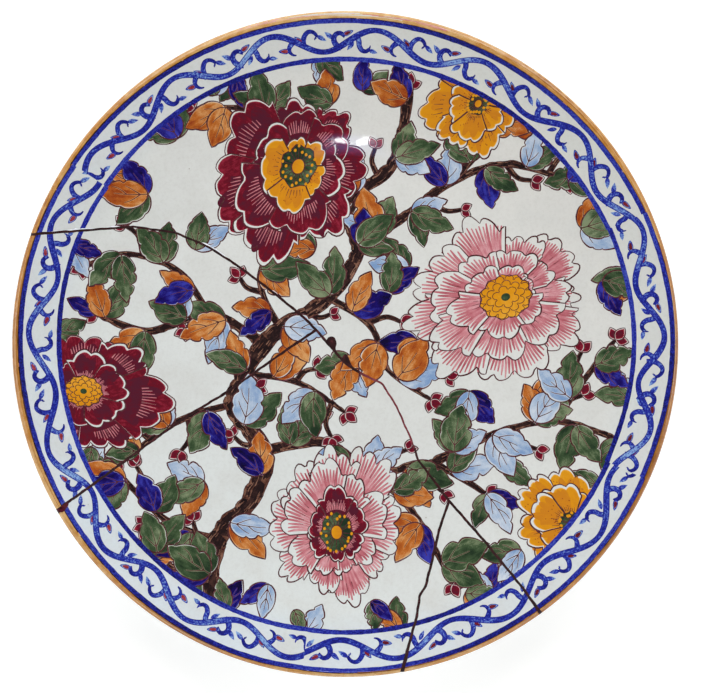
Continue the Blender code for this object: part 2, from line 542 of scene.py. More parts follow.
@dataclass(frozen=True)
class Branch:
    """A knotty branch: nearly black wood in streaky bark, with twigs that end in buds, and leaves."""

    route: tuple[complex, ...]
    width: float
    taper: float = 0.5
    pitch: float = 20
    first: float = 12

    def draw(self, canvas: Canvas) -> None:
        """Lay the branch from its thick end.

        Args:
            canvas: The decoration so far.
        """
        rng = canvas.rng
        path = spline(self.route, 1.2)
        rough = np.convolve([rng.uniform(-1, 1) for _ in path], [0.25, 0.5, 0.25], "same")
        knots = sum(np.sin(np.arange(len(path)) * f + rng.uniform(0, 6)) for f in (0.21, 0.47)) / 2
        girth = self.width * (1 - (1 - self.taper) * np.linspace(0, 1, len(path)))
        girth = girth * (1 + 0.18 * rough + 0.12 * knots)
        path = path + sideways(path) * 0.05 * self.width * rough
        girth[-4:] *= (0.92, 0.8, 0.62, 0.4)
        self.draw_length(canvas, path, girth)
        Bud(path[-1], math.degrees(cmath.phase(path[-1] - path[-3])), 7, 3).draw(canvas)

    def draw_twigs(self, canvas: Canvas) -> None:
        """Lay twigs with buds in between the leaves, to both sides by turns.

        Args:
            canvas: The decoration so far.
        """
        rng = canvas.rng
        for place, way, side in self.nodes(self.first + self.pitch / 2):
            if rng.random() < 0.3:
                continue
            heading = math.degrees(cmath.phase(way)) + side * rng.uniform(30, 65)
            reach = rng.uniform(11, 17)
            tip = place + reach * turned(heading)
            twig = spline([place, place + 0.6 * reach * turned(heading + side * 16), tip], 1.1)
            self.draw_length(canvas, twig, np.linspace(2.6, 1.5, len(twig)))
            Bud(tip, heading - side * 14, rng.uniform(5.6, 7.4), rng.choice((2, 2, 3))).draw(canvas)

    def draw_leaves(self, canvas: Canvas) -> None:
        """Lay sprays of leaves, to both sides by turns.

        Args:
            canvas: The decoration so far.
        """
        rng = canvas.rng
        for place, way, side in self.nodes(self.first):
            heading = math.degrees(cmath.phase(way)) + side * rng.uniform(48, 78)
            paints = tuple(rng.choice(FOLIAGE) for _ in range(rng.choice((2, 2, 3))))
            Spray(place, heading, rng.uniform(19, 25), paints).draw(canvas)

    def nodes(self, first: float) -> list[tuple[complex, complex, int]]:
        """Places along the branch from this distance on, each with its direction and side.

        Args:
            first: Distance to the first place.

        Returns:
            Each position, the step to it along the branch, and 1 for left or -1 for right.
        """
        path = spline(self.route, 1.2)
        far = walked(path)
        index = np.searchsorted(far, np.arange(first, far[-1] - 1, self.pitch))
        return [(path[i], path[i] - path[i - 1], (-1) ** k) for k, i in enumerate(index)]

    def draw_length(self, canvas: Canvas, path: Loop, girth: np.ndarray) -> None:
        """Lay one length of wood.

        Args:
            canvas: The decoration so far.
            path: Its middle line.
            girth: Its width at each point.
        """
        rng = canvas.rng
        canvas.lay(ribbon(path, girth + 0.5), Paint.PRINT, even(0.7))
        for i in range(0, len(path) - 1, 7):
            part = slice(i, i + 8)
            tone = rng.uniform(0.1, 0.6)
            wash = Wash(path[i], path[part][-1], tone, tone)
            canvas.lay(ribbon(path[part], girth[part] - 0.2), Paint.BARK, wash)
        across = sideways(path)
        for i in range(0, len(path) - 2, 9):
            part = slice(i, i + 10)
            ragged = np.array([rng.uniform(0.68, 0.97) for _ in path[part]])
            shift = np.array([rng.uniform(-0.1, 0.1) for _ in path[part]])
            core = path[part] + across[part] * girth[part] * shift
            wash = Wash(path[i], path[part][-1], 0.4, 0.7)
            canvas.lay(ribbon(core, girth[part] * ragged), Paint.WOOD, wash)
        for _ in range(int(len(path) * girth[0] / 12)):
            i = rng.randrange(0, max(1, len(path) - 5))
            part = slice(i, i + rng.randrange(3, 6))
            grain = path[part] + across[part] * girth[part] * rng.choice((-1, 1)) * rng.uniform(0.1, 0.4)
            tone = rng.uniform(0, 0.5)
            if len(grain) > 2:
                canvas.stroke(grain, rng.uniform(0.35, 0.7), 0.4, Paint.BARK, even(tone))


class Petal(Enum):
    """How a petal is painted."""

    STRIPED = "rose strokes on white"
    VELVET = "solid burgundy"
    GOLD = "solid yellow"


@dataclass(frozen=True)
class PetalRing:
    """One ring of petals: their number, reach as a share of the blossom, style and overlap."""

    count: int
    reach: float
    style: Petal
    spread: float = 1.3
    ruffles: int = 4
    phase: float = 0


@dataclass(frozen=True)
class Blossom:
    """An open flower seen somewhat from the side, its near petals longer than its far ones."""

    centre: complex
    radius: float
    facing: float
    rings: tuple[PetalRing, ...]
    heart: Callable[["Blossom", Canvas], None]
    squash: float = 0.82
    lean: float = 0.18

    def place(self, shape: Loop, angle: float = 90) -> Loop:
        """Turn a shape laid out along +x to its angle in the flower, and foreshorten it."""
        flat = shape * turned(angle) * (1 + self.lean * math.cos(math.radians(angle)))
        return self.centre + turned(self.facing) * (flat.real + 1j * self.squash * flat.imag)

    def draw(self, canvas: Canvas) -> None:
        """Lay the rings from the outside in, each from its far petals to its near ones.

        Args:
            canvas: The decoration so far.
        """
        rng = canvas.rng
        for ring, inner in zip(self.rings, [*(ring.reach for ring in self.rings[1:]), 0.24]):
            step = 360 / ring.count
            angles = [ring.phase + step * (k + rng.uniform(-0.12, 0.12)) for k in range(ring.count)]
            for angle in sorted(angles, key=lambda a: math.cos(math.radians(a))):
                length = self.radius * ring.reach * rng.uniform(0.84, 1.12)
                half = math.radians(step * ring.spread / 2 * rng.uniform(0.85, 1.15))
                LaidPetal(self, ring, canvas, angle, length, half, inner / ring.reach).draw()
        self.heart(self, canvas)


def fan(length: float, half: float, ruffles: int, phase: float, inset: float = 0) -> Loop:
    """A fan-shaped petal from its root at 0 to a ruffled edge, along +x.

    Args:
        length: From its root to its edge.
        half: Half its spread in radians.
        ruffles: How many waves its edge has.
        phase: Where the first wave starts, in waves.
        inset: How far inside its edge it is drawn.

    Returns:
        Its outline.
    """
    half = half - 0.4 * inset / length
    u = np.linspace(0, 1, 6 * ruffles + 9)
    turn = (2 * u - 1) * half
    wave = np.abs(np.sin(math.pi * (ruffles * u + phase)))
    edge = 0.84 + 0.16 * np.cos(turn / half * math.pi / 2)
    edge = edge * (1 - 0.11 * (1 - wave) ** 1.5) * (1 + 0.05 * np.sin(math.tau * (1.5 * u + phase)))
    rim = edge * (length - inset) * np.exp(1j * turn)
    side = np.array([0.16, 0.42, 0.7])
    bulge = half * (0.86 + 0.16 * np.sin(math.pi * side))
    right, left = side * abs(rim[0]) * np.exp(-1j * bulge), side * abs(rim[-1]) * np.exp(1j * bulge)
    return np.concatenate([right, rim, left[::-1]])


@dataclass(frozen=True)
class LaidPetal:
    """One petal in its place: its angle in the flower, and half its spread in radians.

    Hidden is the share of its length that inner rings cover.
    """

    blossom: Blossom
    ring: PetalRing
    canvas: Canvas
    angle: float
    length: float
    half: float
    hidden: float

    def draw(self) -> None:
        """Lay the petal in its ring's style."""
        rng, canvas, ring = self.canvas.rng, self.canvas, self.ring
        size = self.length, self.half, ring.ruffles, rng.uniform(0, 1)
        rim = self.blossom.place(fan(*size), self.angle)
        canvas.fill(rim, Paint.GROUND)
        near = self.hidden - 0.04
        if ring.style is Petal.STRIPED:
            self.draw_stripes()
            self.draw_hatch(Paint.PRINT, near, self.hidden + 0.05, 0.3, 7)
            canvas.contour(rim)
            return
        paint = Paint.BURGUNDY if ring.style is Petal.VELVET else Paint.YELLOW
        inset = rng.uniform(0.6, 1.7)
        canvas.fill(self.blossom.place(fan(*size, inset), self.angle), paint, Wash(low=0, high=0.1))
        body = rng.uniform(0.4, 0.65)
        inner = self.blossom.place(fan(*size, inset + 0.5), self.angle)
        canvas.fill(inner, paint, Wash(inner[len(inner) // 2], self.blossom.centre, body, body + 0.15))
        for _ in range(2):
            extent = self.length * rng.uniform(0.82, 0.92), self.half * rng.uniform(0.25, 0.5)
            shade = fan(*extent, 2, rng.random())
            aside = math.degrees(self.half) * rng.uniform(-0.5, 0.5)
            canvas.fill(self.blossom.place(shade, self.angle + aside), paint, even(0.95))
        if ring.style is Petal.VELVET:
            self.draw_hatch(Paint.ROSE, near, self.hidden + 0.16, 0.62, 19)
        else:
            self.draw_dots()
        self.draw_hatch(Paint.PRINT, near, self.hidden + 0.09, 0.36, 9)
        canvas.contour(rim)

    def draw_stripes(self) -> None:
        """Lay the rose strokes of a white petal, broad at its edge and fine at its root."""
        rng = self.canvas.rng
        count = max(3, round(2 * self.half * self.length / 2.15))
        for k in range(count):
            off = (2 * k + 1) / count - 1
            start = self.length * rng.uniform(0.87, 0.95) * (1 - 0.14 * off * off)
            reach = np.linspace(start, self.length * rng.uniform(0.16, 0.3), 7)
            bow = off * self.half * 0.93 * (1 - 0.12 * np.sin(np.linspace(0, math.pi, 7)))
            path = self.blossom.place(reach * np.exp(1j * bow), self.angle)
            width = rng.uniform(1.1, 1.3) * np.array([0.5, 0.95, 1, 0.88, 0.74, 0.6, 0.5])
            deep = rng.uniform(0.35, 0.85)
            self.canvas.lay(ribbon(path, width), Paint.ROSE, Wash(path[0], path[-1], deep, deep - 0.4))

    def draw_dots(self) -> None:
        """Stipple part of the petal with small dots."""
        rng = self.canvas.rng
        for _ in range(rng.randrange(5, 14)):
            reach = self.length * rng.uniform(self.hidden, 0.5 + self.hidden / 2)
            dot = reach * cmath.exp(1j * self.half * rng.uniform(-0.7, 0.7)) + 0.26 * np.exp(1j * turns(6))
            self.canvas.fill(self.blossom.place(dot, self.angle), Paint.ORANGE, even(0.9))

    def draw_hatch(self, paint: Paint, start: float, end: float, width: float, count: int) -> None:
        """Lay fine strokes that spread outwards.

        Args:
            paint: What they are drawn in.
            start: Where they start, as a share of the petal.
            end: Where they end.
            width: How broad they start.
            count: How many there are.
        """
        for k in range(count):
            off = ((2 * k + 1) / count - 1) * 0.82
            far = min(end + self.canvas.rng.uniform(-0.08, 0.05), 0.74 * math.cos(1.2 * off) + 0.1)
            if far >= start + 0.05:
                reach = np.linspace(self.length * start, self.length * far, 3)
                stroke = self.blossom.place(reach * cmath.exp(1j * off * self.half), self.angle)
                self.canvas.stroke(stroke, width, 0.4, paint)


def golden_heart(blossom: Blossom, canvas: Canvas) -> None:
    """Lay a yellow head of small scales round a green eye.

    Args:
        blossom: The flower that it is in.
        canvas: The decoration so far.
    """
    size = blossom.radius * 0.27
    turn = turns(44)
    rim = blossom.place(size * (1 + 0.06 * np.sin(11 * turn)) * np.exp(1j * turn))
    canvas.fill(rim, Paint.YELLOW, Wash(rim[0], rim[22], 0.2, 0.7))
    canvas.contour(rim, 0.5)
    arc = 0.17 * size * np.exp(1j * np.linspace(-1.9, 1.9, 7))
    for k, share in enumerate((0.84, 0.6, 0.36)):
        count = 14 - 4 * k
        for j in range(count):
            step = 360 * (j + 0.5 * (k % 2)) / count
            canvas.stroke(blossom.place((share * size + arc) * turned(step)), 0.38, 0.9)
    canvas.fill(blossom.place(size * 0.18 * np.exp(1j * turn[::3])), Paint.GREEN, even(0.8))


def threaded_heart(blossom: Blossom, canvas: Canvas) -> None:
    """Lay a green knob in a ring of brown threads with yellow heads.

    Args:
        blossom: The flower that it is in.
        canvas: The decoration so far.
    """
    rng = canvas.rng
    size = blossom.radius * 0.2
    turn = turns(24)
    round_line = np.exp(1j * turn)
    floor = blossom.place(size * 1.15 * (1 + 0.08 * np.sin(7 * turn)) * round_line)
    canvas.fill(floor, Paint.GREEN, Wash(floor[0], floor[12], 0.5, 1))
    canvas.contour(floor, 0.5)
    for k in range(20):
        way = turned(18 * k + rng.uniform(-5, 5))
        reach = size * rng.uniform(0.75, 1.2)
        canvas.stroke(blossom.place(np.linspace(0.3 * size, reach, 3) * way), 0.36, 0.9)
        canvas.fill(blossom.place((reach + 0.8 * round_line[::3]) * way), Paint.YELLOW, even(0.5))
    knob = blossom.place(size * 0.42 * round_line)
    canvas.fill(knob, Paint.YELLOW, Wash(knob[0], knob[12], 0.3, 0.9))
    canvas.contour(knob, 0.45)


# ---------------- the printed border


@dataclass(frozen=True)
class PrintStrip:
    """One length of the transfer print round the border.

    Angles are in degrees, anticlockwise from +x. The crests are where the stem comes nearest the
    rim, and drift is how far the strip was laid out of true at five places along it.
    """

    region: Region
    start: float
    end: float
    crests: tuple[float, ...]
    drift: tuple[float, ...]
    ring: float = 133.5
    middle: float = 142.2
    band: float = 151.1
    swing: float = 5.2
    stem: float = 2.6
    line: float = 2.2

    @property
    def knots(self) -> tuple[float, ...]:
        """The crests, with one more before and after them."""
        pitch = (self.crests[-1] - self.crests[0]) / (len(self.crests) - 1)
        return (self.crests[0] - pitch, *self.crests, self.crests[-1] + pitch)

    def stray(self, angle: np.ndarray) -> np.ndarray:
        """How far the print lies outside its true circle at these angles."""
        share = np.clip((angle - self.start) / (self.end - self.start), -0.03, 1.03)
        return np.polyval(np.polyfit(np.linspace(0, 1, len(self.drift)), self.drift, 4), share)

    def place(self, angle: np.ndarray, radius: np.ndarray | float) -> Loop:
        """Positions on the print at these angles and true radii."""
        return (radius + self.stray(angle)) * np.exp(1j * np.radians(angle))

    def draw(self, canvas: Canvas) -> None:
        """Lay the strip: the scroll, then the two rings that shut it in.

        Args:
            canvas: The decoration so far.
        """
        canvas.region = self.region
        for near, far in zip(self.knots, self.knots[1:]):
            self.draw_sprigs(canvas, (near + far) / 2, SCROLL_OUTSIDE, 1)
        for angle in self.knots:
            self.draw_sprigs(canvas, angle, SCROLL_INSIDE, -1)
        self.draw_stem(canvas)
        for radius, width in ((self.ring, self.line + 0.05), (self.band, self.line)):
            self.draw_ring(canvas, radius, width)
        canvas.region = Region.ANYWHERE

    def draw_stem(self, canvas: Canvas) -> None:
        """Lay the waving stem, dark at its bends and pale between them.

        Args:
            canvas: The decoration so far.
        """
        rng = canvas.rng
        angle = np.arange(self.start - 1, self.end + 1, 0.3)
        phase = np.interp(angle, self.knots, np.arange(-1, len(self.crests) + 1))
        path = self.place(angle, self.middle + self.swing * np.cos(math.tau * phase))
        width = self.stem + 0.3 * np.abs(np.sin(math.tau * phase)) + 0.14 * np.sin(9 * phase)
        canvas.lay(ribbon(path, width), Paint.SCROLL, even(0.85))
        quarter = np.floor(4 * phase).astype(int)
        quarters = range(quarter.min(), quarter.max() + 2)
        pale = (0.05, 0.3, 0.4, 0.5, 0.6, 0.65)
        tones = [rng.choice(pale) if k % 2 else rng.uniform(0.6, 0.85) for k in quarters]
        for k, low, high in zip(quarters, tones, tones[1:]):
            here = np.flatnonzero(quarter == k)
            if len(here) > 1:
                here = np.append(here, min(here[-1] + 1, len(path) - 1))
                part = path[here]
                canvas.lay(ribbon(part, width[here] - 0.8), Paint.SCROLL, Wash(part[0], part[-1], low, high))

    def draw_ring(self, canvas: Canvas, radius: float, width: float) -> None:
        """Lay one cobalt ring in short runs of the banding brush.

        Args:
            canvas: The decoration so far.
            radius: Its true radius.
            width: Its usual width.
        """
        for start in np.arange(self.start - 0.5, self.end + 0.5, 9):
            angle = np.linspace(start - 0.1, start + 9.1, 13)
            path = self.place(angle, radius)
            girth = width + 0.12 * np.sin(angle * 0.9 + radius) + 0.1 * np.sin(angle * 2.7)
            girth = girth + np.array([canvas.rng.uniform(-0.09, 0.09) for _ in angle])
            a, b = (0.6 + 0.22 * math.sin(0.11 * end + radius) for end in (start, start + 9))
            canvas.lay(ribbon(path, girth), Paint.BAND, Wash(path[0], path[-1], a, b))

    def draw_sprigs(self, canvas: Canvas, angle: float, sprigs: "ScrollSprigs", side: int) -> None:
        """Lay the hooks, leaves and buds in one hollow of the stem.

        Args:
            canvas: Where they are laid.
            angle: Middle of the hollow.
            sprigs: Their shapes, measured from there: clockwise along the rim, and outwards.
            side: 1 for a hollow open to the rim, and -1 for one open to the well.
        """
        rng = canvas.rng
        scale = rng.uniform(0.96, 1.03)

        def place(points: Sequence[complex] | Loop) -> Loop:
            """Put points of a sprig on the print."""
            local = np.asarray(points, complex) * scale
            return self.place(angle - np.degrees(local.real / self.middle), self.middle + side * local.imag)

        for base, tip, width in sprigs.leaves:
            share = np.linspace(0, 1, 9)
            path = base + (tip - base) * share
            half = 0.5j * width * (tip - base) / abs(tip - base) * np.sin(math.pi * share**0.8)
            rim = place(np.concatenate([path - half, (path + half)[-2:0:-1]]))
            wash = Wash(rim[0], rim[8], rng.uniform(0.55, 0.85), rng.uniform(0, 0.3))
            canvas.fill(rim, Paint.SCROLL, wash)
        for points, thick, thin in sprigs.hooks:
            path = place(spline(points, 1.0))
            share = np.linspace(0, 1, len(path))
            width = 1.12 * (thick + (thin - thick) * share) * (1 + 0.12 * np.sin(math.pi * share))
            canvas.lay(ribbon(path, width), Paint.SCROLL, Wash(path[0], path[-1], 0.75, 0.95))
            inner = slice(0, len(path) * 3 // 4)
            light = rng.uniform(0.3, 0.7)
            wash = Wash(path[0], path[-1], light, 0.7)
            canvas.lay(ribbon(path[inner], width[inner] - 0.85), Paint.SCROLL, wash)
        for middle, heading, length, width in sprigs.buds:
            turn = turns(16)
            shape = length / 2 * np.cos(turn) + 0.5j * width * np.sin(turn) * (1 - 0.35 * np.cos(turn))
            way = turned(heading + rng.uniform(-8, 8))
            canvas.fill(place(middle + way * 1.12 * shape), Paint.SCROLL, even(0.6))
            canvas.fill(place(middle + way * 0.84 * shape), Paint.SCROLL, even(rng.uniform(0, 0.4)))
            core = place(middle + way * (0.72 * shape - 0.2))
            canvas.fill(core, Paint.SCROLL_RED, Wash(low=0.4, high=0.8))


@dataclass(frozen=True)
class ScrollSprigs:
    """What fills one hollow of the stem.

    A hook is a curve with its first and last width, a leaf is its base, tip and width, and a bud is
    its middle, heading, length and width. The short hooks are barbs at the tips of the long ones.
    """

    hooks: tuple[tuple[tuple[complex, ...], float, float], ...]
    leaves: tuple[tuple[complex, complex, float], ...]
    buds: tuple[tuple[complex, float, float, float], ...]


SCROLL_OUTSIDE = ScrollSprigs(
    hooks=(
        ((-9.8 - 2.6j, -9.9 + 0.6j, -9 + 3j, -7.2 + 4.7j, -5.2 + 4.6j, -3.8 + 3.4j, -3.1 + 1.9j), 2.3, 1.3),
        ((8.4 - 3.6j, 6.2 - 2.6j, 4.9 - 0.7j, 4.8 + 1.3j, 5.9 + 2.9j, 7.7 + 3.4j, 9.3 + 2.5j), 2.5, 1.7),
        ((-3.6 + 1.8j, -4.3 + 1.2j, -4.4 + 0.6j), 0.9, 0.3),
        ((8.8 + 2.9j, 9.3 + 2j, 9 + 1.4j), 1.7, 1.1),
    ),
    leaves=((-10.6 - 0.6j, -13.8 + 3.6j, 2.2), (4.6 + 0.6j, 0.4 + 4.1j, 2.3), (-3.4 + 2.7j, 1.2 - 0.2j, 2.2)),
    buds=((-12 + 1.5j, 130, 4.4, 2.1), (11.6 + 3.5j, 24, 4.6, 2.1)),
)
SCROLL_INSIDE = ScrollSprigs(
    hooks=(
        ((-9 - 1.8j, -8.1 + 0.4j, -7.8 + 2.6j, -6.3 + 4.6j, -4.2 + 4.8j, -2.9 + 3.7j), 2.3, 1.5),
        ((10.6 - 1.2j, 8.7 + 0.5j, 7.7 + 2.2j, 8.2 + 4.1j, 9.5 + 5.2j, 10.9 + 5.5j), 2.5, 0.5),
        ((-3.4 + 4.2j, -2.7 + 3.1j, -2.5 + 1.9j), 1.1, 0.3),
    ),
    leaves=((-3.2 + 4.2j, 1.4 + 5.2j, 2.1), (-10.4 + 0.8j, -13.8 + 4.7j, 2.1)),
    buds=((5.1 + 2.6j, 196, 4.8, 2.3),),
)
PRINT_STRIPS = (
    PrintStrip(
        Region.STRIP_A, 23.6, 146.6, (41.3, 63.2, 84.2, 103.8, 123.1, 143.3), (0.4, -1, -0.8, -0.4, 0.3)
    ),
    PrintStrip(
        Region.STRIP_B, 146.6, 262.5, (157.5, 177.7, 200.2, 220, 239.7, 259.5), (-0.3, 0, -0.5, 0.4, 0.6)
    ),
    PrintStrip(Region.STRIP_C, 262.5, 335.8, (279.9, 301.4, 322.9), (0.7, 0.8, 0.55, 0.6, 0.75)),
    PrintStrip(Region.STRIP_D, 335.8, 383.6, (343.9, 361.3, 381), (0.2, 0.4, 1.1, 1, 0.9)),
)


def on_print(angle: np.ndarray) -> np.ndarray:
    """The same angles, counted on from the start of the first strip."""
    return (angle - PRINT_STRIPS[0].start) % 360 + PRINT_STRIPS[0].start


def strip_at(angle: np.ndarray) -> np.ndarray:
    """Which strip of the print lies at these angles, as its place among PRINT_STRIPS."""
    return np.searchsorted([strip.end for strip in PRINT_STRIPS[:-1]], on_print(angle))


def ring_radius(angle: np.ndarray, band: bool) -> np.ndarray:
    """Radius of the inner ring or of the outer band at these angles."""
    radii = [(strip.band if band else strip.ring) + strip.stray(on_print(angle)) for strip in PRINT_STRIPS]
    return np.choose(strip_at(angle), radii)


# ---------------- breaks


@dataclass(frozen=True)
class Crack:
    """One break through the plate. Each point of its route is x, y and the width of the gap."""

    name: str
    route: tuple[tuple[float, float, float], ...]
    flakes: tuple[tuple[complex, ...], ...] = ()
    joins: bool = False
    step: float = 1.1

    @property
    def line(self) -> Loop:
        """The points of the route."""
        return np.array([complex(x, y) for x, y, _ in self.route])

    def stations(self) -> tuple[Loop, Loop, np.ndarray]:
        """Middles, unit steps to the left, and half widths along the break, a little ragged.

        Returns:
            The middles, the steps and the half widths.
        """
        rng = random.Random(self.name)
        reach = walked(self.line)
        along = np.linspace(0, reach[-1], round(reach[-1] / self.step))
        middle = np.interp(along, reach, self.line)
        across = sideways(middle)
        half = np.interp(along, reach, [width / 2 for *_, width in self.route])
        # a crack that runs into another one ends exactly on it
        ease = np.clip(along[-1] - along, 0, 4) / 4 if self.joins else 1
        wander, swell = np.zeros_like(along), np.zeros_like(along)
        for length in (2.9, 5.3, 9.1):
            wander += 0.028 * length * np.sin(math.tau * along / length + rng.uniform(0, math.tau))
            swell += 0.022 * np.sin(math.tau * along / length + rng.uniform(0, math.tau))
        return middle + across * wander * ease * 0.25, across, half * 0.9 + swell

    def edges(self, top: bool) -> tuple[Loop, Loop]:
        """The left and right edges of the gap, in the face with its flakes or in the underside.

        Args:
            top: Whether the face is meant, and not the underside.

        Returns:
            The left edge and the right one.
        """
        middle, across, half = self.stations()
        left, right = middle + across * half, middle - across * half
        for flake in self.flakes if top else ():
            first = int(np.abs(middle - flake[0]).argmin())
            last = int(np.abs(middle - flake[-1]).argmin())
            outline = spline([left[first], *flake[1:-1], left[last]], 0.4)
            reach = walked(outline)
            left[first : last + 1] = np.interp(np.linspace(0, reach[-1], last - first + 1), reach, outline)
        return left, right


LONG_CRACK = Crack(
    "long_crack",
    (
        (-163, 50.4, 1.3), (-146, 51, 1.25), (-116, 53.4, 1.0), (-99, 54.8, 0.92), (-80, 52.2, 0.98),
        (-65, 46, 0.95), (-51, 37.1, 1.08), (-36, 26, 1.15), (-20, 13, 1.2), (-13.6, 6.6, 1.2),
        (-4.4, -4, 1.2), (0, -9, 1.2), (7.3, -13.8, 1.1), (17.3, -18.5, 0.9), (24, -29.2, 0.8),
        (31, -45, 0.8), (34, -54, 1.0), (48.5, -73.3, 1.2), (65, -92, 1.2), (83, -114, 1.15),
        (90, -124, 1.6), (99, -136, 2.8),
    ),
    flakes=(
        (-9.4 + 2j, -8 + 3.1j, -6 + 3.6j, -4.7 + 2.6j, -4 - 0.5j, -4.7 - 2.5j, -2.4 - 6.2j),
        (-1.6 - 7.2j, -0.4 - 4.8j, 1.1 - 5.4j, 2.2 - 8j, 3.6 - 10.7j, 6 - 12.2j, 7.3 - 13.8j),
    ),
)  # fmt: skip
LEFT_CRACK = Crack(
    "left_crack",
    (
        (-146, -86.6, 1.2), (-133.8, -77.3, 1.2), (-129.5, -74, 1.15), (-115, -63.6, 1.05),
        (-92, -46.5, 1.05), (-75, -34.4, 1.05), (-54.5, -22, 1.0), (-27.3, -2.6, 1.0),
        (-18.7, 3.1, 1.1), (-13.6, 6.6, 1.2),
    ),
    joins=True,
)  # fmt: skip
LOWER_CRACK = Crack(
    "lower_crack",
    (
        (24.8, -168, 2.4), (26.6, -152, 1.9), (29.9, -139, 1.3), (33.5, -126.3, 1.2),
        (34.7, -117.4, 1.2), (37.4, -113.2, 1.2), (40.8, -100.3, 1.2), (44, -86.4, 1.2),
        (48.5, -73.3, 1.2),
    ),
    joins=True,
)  # fmt: skip
CRACKS = (LONG_CRACK, LEFT_CRACK, LOWER_CRACK)
RIM_LUMP = np.array([
    -129.7 - 73.8j, -134 - 77.1j, -142.2 - 83.4j, -139.5 - 82.8j, -133.8 - 78.6j, -131.2 - 78j,
    -129.4 - 75.8j, -128.9 - 74.3j,
])  # fmt: skip


# ---------------- cutting the face


@dataclass
class Sheet:
    """Triangles on the plan, with the anchor that each point stands for, or -1."""

    points: Loop
    triangles: np.ndarray
    anchors: np.ndarray

    @property
    def spots(self) -> Loop:
        """The middle of each triangle."""
        return self.points[self.triangles].mean(1)


def cut(lines: Sequence[tuple[Loop, bool]], loose: Loop, anchors: int) -> Sheet:
    """Cut the plan into triangles along lines.

    Args:
        lines: Paths to cut along, each with whether it is closed.
        loose: Points that no line joins.
        anchors: How many of the first points to keep track of.

    Returns:
        The triangles, which cover everything inside the outermost line.
    """
    points = np.concatenate([path for path, _ in lines] + [loose])
    edges, first = [], 0
    for path, closed in lines:
        index = np.arange(first, first + len(path))
        edges.append(np.stack([index, np.roll(index, -1)], 1)[: None if closed else -1])
        first += len(path)
    pairs = np.concatenate(edges)
    pairs = pairs[np.abs(points[pairs[:, 0]] - points[pairs[:, 1]]) > 1e-3]
    flat = [Vector((p.real, p.imag)) for p in points]
    made, _, faces, origins, _, _ = delaunay_2d_cdt(flat, pairs.tolist(), [], 0, 2e-4, True)
    known = np.full(len(made), -1)
    for i, origin in enumerate(origins):
        if origin and min(origin) < anchors:
            known[i] = min(origin)
    plan = np.array([complex(p.x, p.y) for p in made])
    corners = np.array(faces)
    a, b, c = plan[corners].T
    sense = ((b - a).conjugate() * (c - a)).imag
    corners[sense < 0] = corners[sense < 0][:, ::-1]
    return Sheet(plan, corners[np.abs(sense) > 1e-9], known)


def thinned(points: Loop, edges: np.ndarray, slack: float = 0.012, rounds: int = 4) -> np.ndarray:
    """Drop the points that lie on nearly straight runs of edges.

    Args:
        points: All positions.
        edges: Pairs of their places in that array.
        slack: How far a dropped point may lie from the edge that takes its place, in one round.
        rounds: How often to go over them.

    Returns:
        The edges that are left.
    """
    rank = np.random.default_rng(SEED).permutation(len(points))
    for _ in range(rounds):
        ends = edges.reshape(-1)
        order = np.argsort(ends, kind="stable")
        used, first, count = np.unique(ends[order], return_index=True, return_counts=True)
        inner, first = used[count == 2], first[count == 2]
        near, far = ends[order[first] ^ 1], ends[order[first + 1] ^ 1]
        way = points[far] - points[near]
        step = (points[inner] - points[near]) * way.conjugate()
        span = np.maximum(np.abs(way), 1e-9)
        share = step.real / span**2
        straight = (np.abs(step.imag) / span < slack) & (share > 0) & (share < 1)
        order_of = np.full(len(points), -1)
        order_of[inner[straight]] = rank[inner[straight]]
        drop = straight & (order_of[inner] > order_of[near]) & (order_of[inner] > order_of[far])
        gone = np.zeros(len(points), bool)
        gone[inner[drop]] = True
        joined = np.stack([near[drop], far[drop]], 1)
        edges = np.concatenate([edges[~gone[edges].any(1)], joined])
        edges = np.unique(np.sort(edges, 1), axis=0)
    return edges


def outlines(top: bool) -> list[tuple[Loop, bool]]:
    """The lines that part the pieces: the rim, both edges of every crack, and the rim lump.

    Args:
        top: Whether the face is meant, and not the underside.

    Returns:
        Each line, with whether it is closed.
    """
    rim = SECTION.radius * np.exp(1j * np.radians(np.arange(0, 360, 1.0)))
    sides = [(side, False) for crack in CRACKS for side in crack.edges(top)]
    return [(rim, True), *sides, (RIM_LUMP, True)]


def gaps(top: bool) -> list[Patch]:
    """The gaps between the pieces, in short lengths.

    Args:
        top: Whether the face is meant, and not the underside.

    Returns:
        One patch for each length, and one for the rim lump.
    """
    loops = []
    for crack in CRACKS:
        left, right = crack.edges(top)
        parts = [slice(i, i + 11) for i in range(0, len(left) - 1, 10)]
        loops += [np.concatenate([right[part], left[part][::-1]]) for part in parts]
    return [Patch((loop,), Paint.GAP) for loop in [*loops, RIM_LUMP]]


def owners(patches: Sequence[Patch], spots: Loop) -> np.ndarray:
    """Which patch shows at each of these positions, as its place in the list, or -1.

    Args:
        patches: Everything laid, in order.
        spots: The positions.

    Returns:
        The patch's number for each position.
    """
    angle, radius = np.degrees(np.angle(spots)), np.abs(spots)
    strip, in_well = strip_at(angle), radius < ring_radius(angle, band=False)
    order = np.argsort(spots.real)
    sorted_x = spots.real[order]
    owner = np.full(len(spots), -1)
    for number, patch in enumerate(patches):
        every = np.concatenate(patch.loops)
        left, right = np.searchsorted(sorted_x, (every.real.min(), every.real.max()))
        near = order[left:right]
        height = spots.imag[near]
        near = near[(height >= every.imag.min()) & (height <= every.imag.max())]
        if patch.region is Region.WELL:
            near = near[in_well[near]]
        elif patch.region is not Region.ANYWHERE:
            near = near[strip[near] == patch.region.value]
        if len(near):
            times = sum(winding(spots[near], loop) for loop in patch.loops)
            owner[near[times != 0]] = number
    return owner


